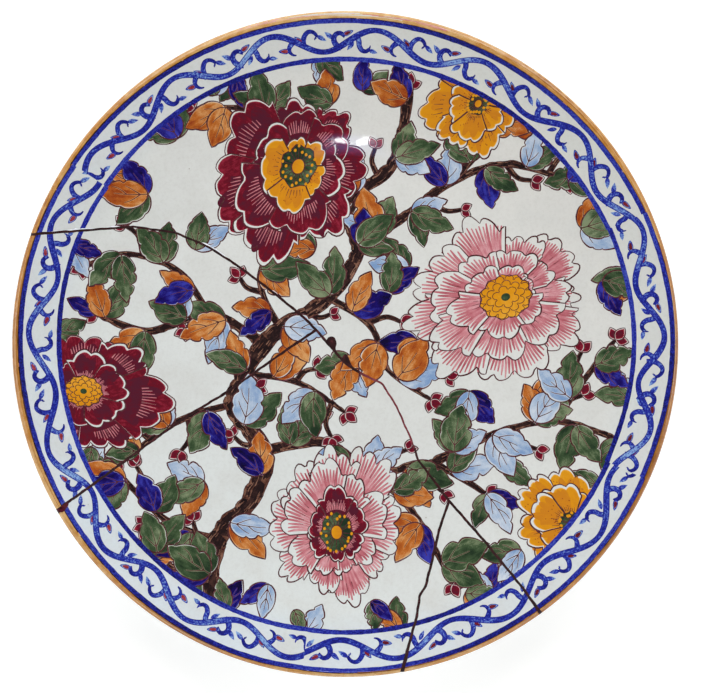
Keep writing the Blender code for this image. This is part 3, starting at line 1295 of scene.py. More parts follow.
def loose_grid(pitch: float, reach: float) -> Loop:
    """Points of a triangular grid inside this radius.

    Args:
        pitch: Distance between points.
        reach: The radius.

    Returns:
        The points.
    """
    rows = np.arange(-reach, reach, pitch * math.sqrt(3) / 2)
    made = [np.arange(-reach, reach, pitch) + (i % 2) * pitch / 2 + 1j * y for i, y in enumerate(rows)]
    grid = np.concatenate(made)
    return grid[np.abs(grid) < reach]


def circle(radius: float, count: int) -> tuple[Loop, bool]:
    """A closed ring of points."""
    return radius * np.exp(1j * turns(count)), True


# Shapes that start outside these radii lie off the well or off the face
WELL_REACH = 134.8
FACE_REACH = 154
# Radii between which the joins of the printed strips run
BORDER = (131, 153.4)
# Degrees round the half circle of the lip at which a ring of points keeps it round
LIP_RINGS = (-23, -8, 8, 24, 40, 56, 72)
# Pitch and radius of the loose points that keep the triangles of bare glaze compact
GRID = (5, 150)


@dataclass
class PaintedFace:
    """The whole face of the plate, cut along its decoration, with the patch on each triangle."""

    patches: list[Patch]
    sheet: Sheet
    owner: np.ndarray

    @classmethod
    def cut_from(cls, canvas: Canvas) -> "PaintedFace":
        """Cut the face twice: along everything drawn, then along what still shows of it.

        Args:
            canvas: The decoration.

        Returns:
            The face.
        """
        patches = [*canvas.patches, *gaps(top=True)]
        fixed = outlines(top=True)
        anchors = sum(len(path) for path, _ in fixed)
        middle, _ = SECTION.lip_centre
        bends = np.radians(LIP_RINGS)
        fixed += [circle(middle + SECTION.lip * math.sin(bend), 240) for bend in bends]
        for strip in PRINT_STRIPS:
            fixed.append((np.linspace(*BORDER, 9) * turned(strip.start), False))
        drawn = [(loop, True) for patch in patches for loop in cls.kept(patch)]
        first = cut(fixed + drawn, np.array([], complex), anchors)
        owner = owners(patches, first.spots)
        LOG.info("first cut: %d triangles from %d patches", len(owner), len(patches))
        # gaps count as one patch and so does bare ground, so that nothing is cut inside them
        kinds = [{Paint.GAP: -2, Paint.GROUND: -1}.get(patch.paint, 0) for patch in patches]
        kinds = np.array([*kinds, -1])
        seen = cls.borders(first, np.where(kinds[owner] < 0, kinds[owner], owner))
        second = cut(fixed + seen, loose_grid(*GRID), anchors)
        owner = owners(patches, second.spots)
        LOG.info("second cut: %d triangles", len(owner))
        return cls(patches, second, owner)

    @staticmethod
    def kept(patch: Patch) -> list[Loop]:
        """The loops of a patch that reach the plate at all."""
        reach = WELL_REACH if patch.region is Region.WELL else FACE_REACH
        return [loop for loop in patch.loops if np.abs(loop).min() < reach]

    @staticmethod
    def borders(sheet: Sheet, owner: np.ndarray) -> list[tuple[Loop, bool]]:
        """The edges between triangles that show different patches, apart from the gaps, whose owner is -2.

        Args:
            sheet: The triangles.
            owner: The patch on each of them.

        Returns:
            Each edge as a short open line.
        """
        corners = sheet.triangles
        starts = corners.reshape(-1)
        ends = np.roll(corners, -1, 1).reshape(-1)
        low, high = np.minimum(starts, ends), np.maximum(starts, ends)
        code = low.astype(np.int64) * len(sheet.points) + high
        order = np.argsort(code, kind="stable")
        twins = np.flatnonzero(code[order][:-1] == code[order][1:])
        one, other = order[twins], order[twins + 1]
        pair = owner[one // 3], owner[other // 3]
        differ = one[(pair[0] != pair[1]) & (np.minimum(*pair) > -2)]
        inside = np.abs(sheet.points[starts[differ]]) < SECTION.radius - 0.02
        edges = np.stack([low, high], 1)[differ[inside]]
        kept = thinned(sheet.points, edges)
        LOG.info("%d of %d edges kept", len(kept), len(edges))
        return [(sheet.points[edge], False) for edge in kept]


# ---------------- finishes


def linear(colour: str) -> tuple[float, float, float, float]:
    """The linear colour of an sRGB hex value."""
    channels = (int(colour[i : i + 2], 16) / 255 for i in (0, 2, 4))
    return (*(c / 12.92 if c <= 0.04045 else ((c + 0.055) / 1.055) ** 2.4 for c in channels), 1)


def add_node(
    tree: bpy.types.NodeTree,
    kind: str,
    inputs: dict[str | int, object] | None = None,
    out: str | int = 0,
    stops: Sequence[tuple[float, str]] = (),
    **settings: object,
) -> Socket:
    """Add a node to a tree.

    Args:
        tree: Where it goes.
        kind: The node's type, without its leading ShaderNode.
        inputs: What each input gets: a value, or an output to link from.
        out: Which of its outputs to return.
        stops: Places and colours along a colour ramp.
        settings: The node's own properties.

    Returns:
        The output.
    """
    node = tree.nodes.new(f"ShaderNode{kind}")
    for name, value in settings.items():
        setattr(node, name, value)
    for name, value in (inputs or {}).items():
        if isinstance(value, Socket):
            tree.links.new(value, node.inputs[name])
        else:
            node.inputs[name].default_value = value
    for k, (position, colour) in enumerate(stops):
        element = node.color_ramp.elements[k] if k < 2 else node.color_ramp.elements.new(position)
        element.position = position
        element.color = linear(colour)
    return node.outputs[out]


@dataclass
class Shading:
    """A material being made: its tree, its shader, and places on the piece in millimetres."""

    name: str
    material: Material = field(init=False)
    shader: bpy.types.Node = field(init=False)
    place: Socket = field(init=False)

    def __post_init__(self) -> None:
        """Start the material."""
        self.material = bpy.data.materials.new(self.name)
        self.material.use_nodes = True
        self.shader = self.material.node_tree.nodes["Principled BSDF"]
        metres = self.add("TexCoord", out="Object")
        self.place = self.add("VectorMath", {0: metres, 1: (1 / MM,) * 3}, operation="MULTIPLY")

    def add(
        self, kind: str, inputs: dict[str | int, object] | None = None, **settings: object
    ) -> Socket:
        """Add a node to the material and return its output."""
        return add_node(self.material.node_tree, kind, inputs, **settings)

    def connect(self, **sockets: object) -> None:
        """Give the shader's inputs, named with _ for a space, their outputs or values.

        Args:
            sockets: What each input gets.
        """
        for name, value in sockets.items():
            socket = self.shader.inputs[name.replace("_", " ")]
            if isinstance(value, Socket):
                self.material.node_tree.links.new(value, socket)
            else:
                socket.default_value = value


@dataclass(frozen=True)
class Firing:
    """Skin of the clear glaze over everything: slow ripples where it flowed, and a fine orange peel."""

    ripple_size: float = 6.5
    ripple: float = 0.004
    peel_size: float = 0.9
    peel: float = 0.0006
    wear_size: float = 9
    ior: float = 1.5

    def coat(
        self, made: Shading, gloss: tuple[float, float], relief: Socket | None = None
    ) -> None:
        """Give a material the glaze's gloss and relief, with the relief of the colour below it.

        Args:
            made: The material.
            gloss: Its lowest and its highest roughness.
            relief: Height of the colour in millimetres.
        """
        slow = made.add("TexNoise", {"Vector": made.place, "Scale": 1 / self.ripple_size, "Detail": 1})
        fine = made.add("TexNoise", {"Vector": made.place, "Scale": 1 / self.peel_size, "Detail": 1})
        height = made.add("Math", {0: slow, 1: self.ripple}, operation="MULTIPLY")
        height = made.add("Math", {0: fine, 1: self.peel, 2: height}, operation="MULTIPLY_ADD")
        if relief is not None:
            height = made.add("Math", {0: height, 1: relief}, operation="ADD")
        bump = made.add("Bump", {"Strength": 1.0, "Distance": MM, "Height": height})
        wear = made.add("TexNoise", {"Vector": made.place, "Scale": 1 / self.wear_size, "Detail": 4})
        span = {"Value": wear, "From Min": 0.3, "From Max": 0.7, "To Min": gloss[0], "To Max": gloss[1]}
        made.connect(Normal=bump, Roughness=made.add("MapRange", span), IOR=self.ior)


@dataclass(frozen=True)
class FiredColour:
    """A ceramic colour laid with a brush or from a transfer, and fired.

    The brush leaves streaks and the melt pools, so that the colour runs from thin to deep. The mesh
    says how deep each stroke is laid, and noise in real millimetres breaks it up.
    """

    name: str
    thin: str
    body: str
    deep: str
    streak: float = 0.9
    mottle: float = 3.5
    contrast: float = 0.5
    gloss: tuple[float, float] = (0.03, 0.08)
    relief: float = 0.006
    stretch: float = 4.5
    grain: float = 0.35

    def material(self, firing: Firing) -> Material:
        """The material of the colour under its glaze.

        Args:
            firing: The glaze over it.

        Returns:
            The material.
        """
        made = Shading(self.name)
        tone = made.add("Attribute", out="Fac", attribute_name="tone")
        brush = made.add("Attribute", out="Vector", attribute_name="brush")
        squeeze = (1 / (self.stretch * self.streak), 1 / self.streak, 1)
        stroke = made.add("VectorMath", {0: brush, 1: squeeze}, operation="MULTIPLY")
        streaks = made.add("TexNoise", {"Vector": stroke, "Scale": 1, "Detail": 3})
        pools = made.add("TexNoise", {"Vector": made.place, "Scale": 1 / self.mottle, "Detail": 4})
        # ground pigment is too fine to show, so its grain is drawn coarser
        grains = made.add("TexNoise", {"Vector": made.place, "Scale": 1 / self.grain, "Detail": 2})
        depth = tone
        for layer, weight in ((streaks, 1.0), (pools, 1.3), (grains, 0.7)):
            swing = made.add("Math", {0: layer, 1: 0.5}, operation="SUBTRACT")
            scaled = {0: swing, 1: weight * self.contrast * 2, 2: depth}
            depth = made.add("Math", scaled, operation="MULTIPLY_ADD")
        stops = ((0, self.thin), (0.5, self.body), (1, self.deep))
        made.connect(Base_Color=made.add("ValToRGB", {"Fac": depth}, stops=stops))
        relief = made.add("Math", {0: streaks, 1: self.relief}, operation="MULTIPLY")
        firing.coat(made, self.gloss, relief)
        return made.material


@dataclass(frozen=True)
class WhiteGlaze:
    """White glaze on earthenware, dipped: even and glossy, with soft grey clouds and iron specks.

    It is painted warmer to one side and cooler to the other, as painted light, and greyer and bluer near the
    border, as painted shade and a painted bluish reflection on its slope. Each pair of colours is that of
    the warm side and that of the cool one.
    """

    name: str = "white_earthenware_glaze_dipped"
    well: tuple[str, str] = ("D7D5CF", "D5DBDA")
    # greyer and bluer than the well: painted shade and a painted bluish reflection on the sloping border
    border: tuple[str, str] = ("CECFC9", "CFD8DE")
    cloud: str = "CDCECA"
    speck: str = "7A6A58"
    cool_side: tuple[float, float, float] = (-0.6, -0.8, 0)
    painted_border_shade_radii: tuple[float, float] = (124, 140)
    gloss: tuple[float, float] = (0.03, 0.075)

    def material(self, firing: Firing) -> Material:
        """The material of the bare glaze.

        Args:
            firing: The clear skin over it.

        Returns:
            The material.
        """
        made = Shading(self.name)
        flat = made.add("VectorMath", {0: made.place, 1: (1, 1, 0)}, operation="MULTIPLY")
        # painted light: the glaze is painted warmer to one side and cooler towards cool_side
        along = made.add("VectorMath", {0: flat, 1: self.cool_side}, out="Value", operation="DOT_PRODUCT")
        cool = made.add("MapRange", {"Value": along, "From Min": -SECTION.radius, "From Max": SECTION.radius})
        well, border = (
            made.add("Mix", {0: cool, 6: linear(warm), 7: linear(cold)}, out=2, data_type="RGBA")
            for warm, cold in (self.well, self.border)
        )
        radius = made.add("VectorMath", {0: flat}, out="Value", operation="LENGTH")
        # painted shade and a painted bluish reflection of the sloping border, blended in between these radii
        near, far = self.painted_border_shade_radii
        edge = made.add("MapRange", {"Value": radius, "From Min": near, "From Max": far})
        base = made.add("Mix", {0: edge, 6: well, 7: border}, out=2, data_type="RGBA")
        soft = made.add("TexNoise", {"Vector": made.place, "Scale": 1 / 17, "Detail": 5})
        base = self.veil(made, base, soft, (0.42, 0.72, 0, 0.7), self.cloud)
        fine = made.add("TexNoise", {"Vector": made.place, "Scale": 1 / 1.6, "Detail": 4, "Roughness": 0.75})
        base = self.veil(made, base, fine, (0.45, 0.75, 0, 0.12), self.speck)
        cells = made.add("TexVoronoi", {"Vector": made.place, "Scale": 1 / 13}, out="Distance")
        base = self.veil(made, base, cells, (0.014, 0.03, 0.6, 0), self.speck)
        made.connect(Base_Color=base)
        firing.coat(made, self.gloss)
        return made.material

    @staticmethod
    def veil(made: Shading, base: Socket, mask: Socket, span: Sequence[float], colour: str) -> Socket:
        """Mix a colour over the base where a mask says so.

        Args:
            made: The material.
            base: The colour so far.
            mask: What says where.
            span: Two values of the mask, and how much of the colour shows at each.
            colour: The colour as a hex value.

        Returns:
            The mixed colour.
        """
        names = ("From Min", "From Max", "To Min", "To Max")
        share = made.add("MapRange", {"Value": mask, **dict(zip(names, span))})
        return made.add("Mix", {0: share, 6: base, 7: linear(colour)}, out=2, data_type="RGBA")


@dataclass(frozen=True)
class DryBody:
    """A dull crumbly solid: a colour that runs through three tones, with a relief of its own grain."""

    name: str
    tones: tuple[str, str, str]
    blotch: float
    grain: float
    relief: float
    gloss: tuple[float, float]
    by_tone: float = 0
    shine: float = 0.5
    stops: tuple[float, float, float] = (0.34, 0.52, 0.74)

    def material(self) -> Material:
        """The material of the solid.

        Returns:
            The material.
        """
        made = Shading(self.name)
        blotch = made.add("TexNoise", {"Vector": made.place, "Scale": 1 / self.blotch, "Detail": 5})
        tone = made.add("Attribute", out="Fac", attribute_name="tone")
        depth = made.add("Math", {0: tone, 1: self.by_tone, 2: blotch}, operation="MULTIPLY_ADD")
        stops = tuple(zip(self.stops, self.tones))
        rough = made.add("MapRange", {"Value": blotch, "To Min": self.gloss[0], "To Max": self.gloss[1]})
        grit = made.add("TexNoise", {"Vector": made.place, "Scale": 1 / self.grain, "Detail": 4})
        height = made.add("Math", {0: grit, 1: self.relief}, operation="MULTIPLY")
        bump = made.add("Bump", {"Strength": 1.0, "Distance": MM, "Height": height})
        colour = made.add("ValToRGB", {"Fac": depth}, stops=stops)
        made.connect(Base_Color=colour, Roughness=rough, Normal=bump, Specular_IOR_Level=self.shine)
        return made.material


# Buff earthenware, broken: sandy and porous, stained brown where damp got into it
BISCUIT = DryBody("buff_earthenware_broken", ("DCD2BE", "CDBEA0", "96714C"), 2.6, 0.35, 0.1, (0.8, 0.95))
# Fresh edge of a chip with a slight sparkle, painted paler and bluer than the body as a painted glint of
# light
CHIP = DryBody("pale_earthenware_chipped", ("F4F6FA", "E6E8EE", "B8B2AE"), 3.5, 0.3, 0.06, (0.3, 0.6))
# Hide glue squeezed out of a join and gone nearly black, rust red where it was wiped thin
OLD_ADHESIVE = DryBody(
    "old_hide_glue_wiped", ("1E0A0B", "341416", "7C3840"), 2.2, 0.8, 0.12, (0.5, 0.75),
    by_tone=0.5, shine=0.18, stops=(0.34, 0.6, 0.95),
)  # fmt: skip
# Wax filler pressed in with a thumb: dark red-brown with a soft sheen
FILLER_WAX = DryBody(
    "red_filler_wax_pressed", ("300A14", "4A0C18", "682028"), 1.5, 0.7, 0.12, (0.4, 0.6), shine=0.15
)
FIRED_COLOURS = {
    # Manganese brown transfer print: a thin line that breaks up a little
    Paint.PRINT: FiredColour("manganese_print_transferred", "70444A", "4E262A", "341618", mottle=2),
    # Brown underglaze dabbed on: small light and dark flecks, rough as bark
    Paint.BARK: FiredColour("brown_underglaze_dabbed", "8C6654", "583529", "321C1C", 0.5, contrast=0.6),
    # Black-brown underglaze brushed thick: nearly black, warmer where the brush ran dry
    Paint.WOOD: FiredColour("black_brown_underglaze_brushed", "452C26", "281818", "180E10", contrast=0.6),
    # Copper green enamel: translucent, so that thin places show the white below
    Paint.GREEN: FiredColour("copper_green_enamel_brushed", "7E8A6A", "3C5034", "1E2F1F", 1.8, 6, 0.55),
    # Cobalt flooded under the glaze: inky violet blue that gathers in nearly black pools
    Paint.COBALT: FiredColour("cobalt_underglaze_flooded", "3638A0", "170A62", "0B0330", 1.5, 4, 0.55),
    # Cobalt thinned to a wash: milky grey blue with broad soft brush marks
    Paint.SKY: FiredColour("pale_cobalt_wash_brushed", "C8D0DA", "A4B5CB", "7694BC", 2, 6, 0.6),
    # Iron orange enamel: rust brown where it is thick, tan where the white shines through
    Paint.ORANGE: FiredColour("iron_orange_enamel_brushed", "CE9A62", "B46425", "8C3816", 1.8, 5.5, 0.6),
    # Antimony yellow enamel: opaque and warm, so that it hardly changes from place to place
    Paint.YELLOW: FiredColour(
        "antimony_yellow_enamel_laid", "E0A63A", "D48E14", "C47A1C", mottle=4, contrast=0.2
    ),
    # Gold purple enamel: dense and velvety, plum where it is thickest
    Paint.BURGUNDY: FiredColour("gold_purple_enamel_laid", "96283C", "660C1E", "50182A"),
    # Gold pink enamel in single strokes: dusty rose that ends in a deeper bead
    Paint.ROSE: FiredColour("gold_pink_enamel_brushed", "D6A6AA", "BC7078", "9E4652", contrast=0.3),
    # Cobalt scroll painted by hand: grainy, from milky blue to ultramarine
    Paint.SCROLL: FiredColour("cobalt_scroll_painted", "86A8D4", "2632A2", "161870", 0.7, 0.9, 0.62),
    # Red enamel touched into the buds: dark drops with a lighter edge
    Paint.SCROLL_RED: FiredColour("red_bud_touched_in", "A84A50", "7E222C", "501220"),
    # Cobalt ring banded on the wheel: ultramarine with a fine grain along its turn
    Paint.BAND: FiredColour("cobalt_ring_banded", "4657B0", "222894", "121252", 0.5, 0.9, 0.6),
    # Iron ochre on the lip, laid on the wheel: its fine streaks run round the rim
    Paint.LIP: FiredColour(
        "iron_ochre_lip_banded", "D2B07A", "B07832", "86501C", 0.5, 5, 0.34, (0.2, 0.32), stretch=22
    ),
}


def shard_palette() -> list[Material]:
    """The materials of a shard, in the order of Paint.

    Returns:
        One material for each paint that a shard can show.
    """
    firing = Firing()
    made = {paint: colour.material(firing) for paint, colour in FIRED_COLOURS.items()}
    made[Paint.GROUND] = WhiteGlaze().material(firing)
    made[Paint.BISCUIT] = BISCUIT.material()
    made[Paint.CHIP] = CHIP.material()
    return [made[paint] for paint in Paint if paint is not Paint.GAP]


# ---------------- pieces


def new_piece(name: str, mesh: bpy.types.Mesh, node: str) -> Piece:
    """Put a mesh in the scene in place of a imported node, and report it.

    Args:
        name: The piece's name.
        mesh: Its mesh.
        node: The node that it takes the place of.

    Returns:
        The piece.
    """
    piece = bpy.data.objects.new(name, mesh)
    bpy.context.scene.collection.objects.link(piece)
    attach(piece, "root")
    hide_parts(node)
    LOG.info("%s: %d faces", name, len(mesh.polygons))
    return piece


def lifted(plan: Loop, height: np.ndarray) -> np.ndarray:
    """Points in metres over these plan positions, at heights in mm that stay within the object's box."""
    low, high = (corner[2] / MM for corner in CAD_BOX)
    return np.stack([plan.real, plan.imag, np.clip(height, low, high)], -1) * MM


def inside_rim(plan: Loop) -> Loop:
    """The same positions, with those outside the rim drawn in to it."""
    return plan * np.minimum(1, (SECTION.radius - 0.005) / np.abs(plan))


def over_plate(plan: Loop, top: bool, rise: np.ndarray | float) -> np.ndarray:
    """Points in metres, this far over the face or the underside of the plate."""
    return lifted(plan, (SECTION.top if top else SECTION.bottom)(np.abs(plan))[0] + rise)


def solid_normals(plan: Loop, out: np.ndarray, up: np.ndarray) -> np.ndarray:
    """Normals over plan positions, from their outward and upward parts."""
    way = plan / np.maximum(np.abs(plan), 1e-9)
    return np.stack([way.real * out, way.imag * out, up], 1)


def at_rim(plan: Loop) -> np.ndarray:
    """Whether these positions lie on the rim."""
    return np.abs(plan) > SECTION.radius - 0.01


def border_loops(corners: np.ndarray) -> list[list[int]]:
    """The closed lines of points round a set of triangles, in their own sense.

    Args:
        corners: The three points of each triangle.

    Returns:
        The points of each line in order.
    """
    starts, ends = corners.reshape(-1), np.roll(corners, -1, 1).reshape(-1)
    count = int(corners.max()) + 1
    open_edges = ~np.isin(starts.astype(np.int64) * count + ends, ends.astype(np.int64) * count + starts)
    following: dict[int, list[int]] = {}
    for a, b in zip(starts[open_edges].tolist(), ends[open_edges].tolist()):
        following.setdefault(a, []).append(b)
    loops = []
    while following:
        loop, here = [], next(iter(following))
        while here in following:
            loop.append(here)
            after = following[here]
            step = after.pop()
            if not after:
                del following[here]
            here = step
        loops.append(loop)
    return loops


@dataclass(frozen=True)
class Skin:
    """The face or the underside of one shard, and the points round its border in order.

    Keys say what each border point stands for, so that the two skins can be matched.
    """

    chosen: np.ndarray
    points: Loop
    corners: np.ndarray
    border: np.ndarray
    keys: np.ndarray

    @classmethod
    def of(cls, sheet: Sheet, inside: np.ndarray) -> "Skin":
        """Take triangles of a sheet, without loose crumbs outside the longest border.

        Args:
            sheet: The sheet.
            inside: Which of its triangles to take.

        Returns:
            The skin.
        """
        chosen = np.flatnonzero(inside)
        longest, *others = sorted(border_loops(sheet.triangles[chosen]), key=len, reverse=True)
        spots = sheet.spots[chosen]
        drop = np.zeros(len(chosen), bool)
        for loop in others:
            line = sheet.points[loop]
            near = np.flatnonzero(np.abs(spots - line.mean()) < 15)
            drop[near[winding(spots[near], line) != 0]] = True
        used, corners = np.unique(sheet.triangles[chosen[~drop]], return_inverse=True)
        points = sheet.points[used]
        border = np.searchsorted(used, longest)
        keys = sheet.anchors[longest]
        on_rim = 10**6 + np.round(np.degrees(np.angle(points[border])) * 20).astype(int)
        keys = np.where((keys < 0) & at_rim(points[border]), on_rim, keys)
        return cls(chosen[~drop], points, corners.reshape(-1, 3), border, keys)


@dataclass(frozen=True)
class Shard:
    """One shard: its painted face, its plain underside with the foot ring, and its broken edges.

    The border is the crack lines round it, anticlockwise.
    """

    name: str
    border: tuple[complex, ...]
    wall_rows: int = 4
    roughness: float = 0.13
    flake_depth: float = 1.6
    bare_foot: tuple[float, float] = (85.6, 89.9)
    beyond: float = 172

    def holds(self, sheet: Sheet) -> np.ndarray:
        """Which triangles of a sheet lie in the shard: inside its crack lines and the rim.

        Args:
            sheet: The sheet.

        Returns:
            True for each triangle in the shard.
        """
        first, last = (cmath.phase(self.border[i]) for i in (-1, 0))
        arc = self.beyond * np.exp(1j * np.linspace(first, first + (last - first) % math.tau, 40))
        spots = sheet.spots
        region = np.concatenate([self.border, arc])
        return (winding(spots, region) != 0) & (np.abs(spots) < SECTION.radius)

    def build(
        self, face: PaintedFace, base: Sheet, base_owner: np.ndarray, palette: list[Material]
    ) -> Piece:
        """Make the shard.

        Args:
            face: The painted face of the whole plate.
            base: The underside of the whole plate, cut along the same cracks.
            base_owner: The gap on each of its triangles, or -1.
            palette: The materials in the order of Paint.

        Returns:
            The finished object.
        """
        gap = np.array([patch.paint is Paint.GAP for patch in face.patches] + [False])
        top = Skin.of(face.sheet, self.holds(face.sheet) & ~gap[face.owner])
        low = Skin.of(base, self.holds(base) & (base_owner < 0))
        top_z, low_z = SECTION.top(np.abs(top.points))[0], SECTION.bottom(np.abs(low.points))[0]
        top_z[at_rim(top.points)] = SECTION.lip_centre[1]
        points = np.concatenate([lifted(top.points, top_z), lifted(low.points, low_z)])
        twin = self.rim_twins(top, low)
        walls, extra = self.walls(top, low, twin, points)
        base_faces = twin[low.corners[:, ::-1]]
        return self.dress(face, top, base_faces, np.concatenate([points, extra]), walls, palette)

    @staticmethod
    def rim_twins(top: Skin, low: Skin) -> np.ndarray:
        """For each point of the underside, its own place in the mesh, or that of the face's on the rim.

        Args:
            top: The face.
            low: The underside.

        Returns:
            The place of each point.
        """
        twin = np.arange(len(low.points)) + len(top.points)
        rim = np.flatnonzero(at_rim(top.points))
        for v in np.flatnonzero(at_rim(low.points)):
            apart = np.abs(top.points[rim] - low.points[v])
            if apart.min() < 0.02:
                twin[v] = rim[apart.argmin()]
        return twin

    @staticmethod
    def matched(top: Skin, low: Skin) -> tuple[int, int, list[tuple[int, int]]]:
        """Match the borders: where each starts, and the pairs of steps from there that stand together.

        Args:
            top: The face.
            low: The underside.

        Returns:
            The two starts and the pairs.
        """
        place = {key: i for i, key in enumerate(low.keys.tolist()) if key >= 0}
        start = next(i for i, key in enumerate(top.keys.tolist()) if key in place)
        turn = place[int(top.keys[start])]
        place = {key: i for i, key in enumerate(np.roll(low.keys, -turn).tolist()) if key >= 0}
        stops, reached = [], -1
        for i, key in enumerate(np.roll(top.keys, -start).tolist()):
            if place.get(key, -1) > reached:
                reached = place[key]
                stops.append((i, reached))
        return start, turn, [*stops, (len(top.keys), len(low.keys))]

    def walls(
        self, top: Skin, low: Skin, twin: np.ndarray, points: np.ndarray
    ) -> tuple[list[tuple[int, ...]], np.ndarray]:
        """Join the border of the face to that of the underside by rough broken walls.

        Args:
            top: The face.
            low: The underside.
            twin: The place in the mesh of each point of the underside.
            points: All points so far, in metres.

        Returns:
            The faces of the walls and the new points.
        """
        start, turn, stops = self.matched(top, low)
        high, base = np.roll(top.border, -start).tolist(), np.roll(twin[low.border], -turn).tolist()
        high, base = [*high, high[0]], [*base, base[0]]
        steps = range(self.wall_rows)
        rows, extra = [], []
        for i, j in stops[:-1]:
            if high[i] == base[j]:
                rows.append([high[i]] * self.wall_rows)
                continue
            head, foot = points[high[i]], points[base[j]]
            rows.append([len(points) + len(extra) + k for k in steps])
            depth = abs(head[2] - foot[2]) / MM
            for k in steps:
                share = (k + 1) / (self.wall_rows + 1)
                slide = min(1, share * depth / self.flake_depth)
                # these factors have no meaning but that neighbours come out unlike each other
                seat = 37.7 * (head[0] + head[1]) / MM + 11.3 * k
                shift = self.roughness * MM * np.array([math.sin(seat), math.cos(1.7 * seat), 0])
                plan = head * (1 - slide) + foot * slide + shift * min(1, depth / 3)
                extra.append((plan[0], plan[1], head[2] * (1 - share) + foot[2] * share))
        faces = []
        for (i, j), (far_i, far_j), near, far in zip(stops, stops[1:], rows, [*rows[1:], rows[0]]):
            faces += [(high[v + 1], high[v], near[0]) for v in range(i, far_i)]
            faces.append((high[far_i], near[0], far[0]))
            faces += [(near[k], near[k + 1], far[k + 1], far[k]) for k in steps[:-1]]
            faces += [(base[v], base[v + 1], near[-1]) for v in range(j, far_j)]
            faces.append((near[-1], base[far_j], far[-1]))
        unique = [tuple(dict.fromkeys(corners)) for corners in faces]
        return [corners for corners in unique if len(corners) > 2], np.array(extra).reshape(-1, 3)

    def dress(
        self,
        face: PaintedFace,
        top: Skin,
        base: np.ndarray,
        points: np.ndarray,
        walls: list[tuple[int, ...]],
        palette: list[Material],
    ) -> Piece:
        """Make the mesh and give every face its paint, tone, brush direction and normal.

        Args:
            face: The painted face of the whole plate.
            top: The shard's part of it.
            base: Triangles of the underside, by their places in the mesh.
            points: All points in metres.
            walls: The faces of the broken edges.
            palette: The materials in the order of Paint.

        Returns:
            The finished object.
        """
        mesh = bpy.data.meshes.new(f"{self.name}_painted")
        mesh.from_pydata(points.tolist(), [], [*top.corners.tolist(), *base.tolist(), *walls])
        for material in palette:
            mesh.materials.append(material)
        plan = (points[:, 0] + 1j * points[:, 1]) / MM
        paint, tone, brush = self.painted(face, top, plan[top.corners])
        under = np.abs(plan[base].mean(1))
        bare = (under > self.bare_foot[0]) & (under < self.bare_foot[1])
        base_paint = np.where(bare, Paint.BISCUIT.value, Paint.GROUND.value)
        slots = np.concatenate([paint, base_paint, np.full(len(walls), Paint.BISCUIT.value)])
        mesh.polygons.foreach_set("material_index", slots.astype(np.int32))
        loops, painted, glazed = len(mesh.loops), len(tone), len(tone) + base.size
        tones, strokes = np.full(loops, 0.5, np.float32), np.zeros((loops, 3), np.float32)
        tones[:painted], strokes[:painted] = tone, brush
        mesh.attributes.new("tone", "FLOAT", "CORNER").data.foreach_set("value", tones)
        mesh.attributes.new("brush", "FLOAT_VECTOR", "CORNER").data.foreach_set("vector", strokes.reshape(-1))
        corner = np.zeros(loops, np.int32)
        mesh.loops.foreach_get("vertex_index", corner)
        normals = np.zeros((loops, 3))
        for part, side in ((slice(painted), SECTION.top), (slice(painted, glazed), SECTION.bottom)):
            normals[part] = solid_normals(plan, *side(np.abs(plan))[1:])[corner[part]]
        flat = np.zeros((len(mesh.polygons), 3))
        mesh.polygon_normals.foreach_get("vector", flat.reshape(-1))
        normals[glazed:] = np.repeat(flat[-len(walls) :], [len(corners) for corners in walls], 0)
        mesh.normals_split_custom_set(normals.tolist())
        return new_piece(mesh.name, mesh, self.name)

    @staticmethod
    def painted(face: PaintedFace, top: Skin, spots: Loop) -> tuple[np.ndarray, np.ndarray, np.ndarray]:
        """Find what shows on the face of the shard, where bare glaze and the lip lie under the patches.

        Args:
            face: The painted face of the whole plate.
            top: The shard's part of it.
            spots: The corners of its triangles on the plan.

        Returns:
            The paint on each triangle, and at each corner how deep it is laid, and its place along the
            brush, across the brush and in the noise.
        """
        middle = spots.mean(1)
        outside = np.abs(middle) > ring_radius(np.degrees(np.angle(middle)), band=True)
        paint = np.where(outside, Paint.LIP.value, Paint.GROUND.value)
        tone = np.full(spots.shape, 0.5)
        turn = np.angle(middle)[:, None]
        brush = SECTION.radius * (turn + np.angle(spots * np.exp(-1j * turn))) + 1j * np.abs(spots)
        seed = np.zeros(len(spots))
        owner = face.owner[top.chosen]
        for number in np.unique(owner[owner >= 0]):
            patch, here = face.patches[number], owner == number
            paint[here] = patch.paint.value
            tone[here] = patch.wash.tone(spots[here])
            brush[here] = patch.wash.brush(spots[here])
            # every patch takes its noise from another place
            seed[here] = number * 7.31 % 97
        columns = brush.real.reshape(-1), brush.imag.reshape(-1), np.repeat(seed, 3)
        return paint, tone.reshape(-1), np.stack(columns, 1)


def underside_sheet() -> tuple[Sheet, np.ndarray]:
    """The underside of the whole plate, cut along its turned rings and the cracks.

    Returns:
        The sheet, and the gap on each of its triangles or -1.
    """
    fixed = outlines(top=False)
    anchors = sum(len(path) for path, _ in fixed)
    radii, _ = SECTION.underside()
    rings = [circle(float(radius), 180 if radius > 20 else 48) for radius in radii[1:-1]]
    sheet = cut(fixed + rings, np.array([0j]), anchors)
    return sheet, owners(gaps(top=False), sheet.spots)


def shards() -> list[Shard]:
    """The four shards, as the cracks part the plate.

    Returns:
        The shards, each with the crack lines round it.
    """
    long, left, lower = (crack.line for crack in CRACKS)
    # the left crack and the lower one meet the long one at these points of its route
    left_joint, lower_joint = 9, 17
    before, between, after = long[:left_joint], long[left_joint:lower_joint], long[lower_joint:]
    return [
        Shard("shard_large", (*long,)),
        Shard("shard_left", (*left, *before[::-1])),
        Shard("shard_lower", (*lower, *between[::-1], *left[-2::-1])),
        Shard("shard_small", (*after[::-1], *lower[-2::-1])),
    ]


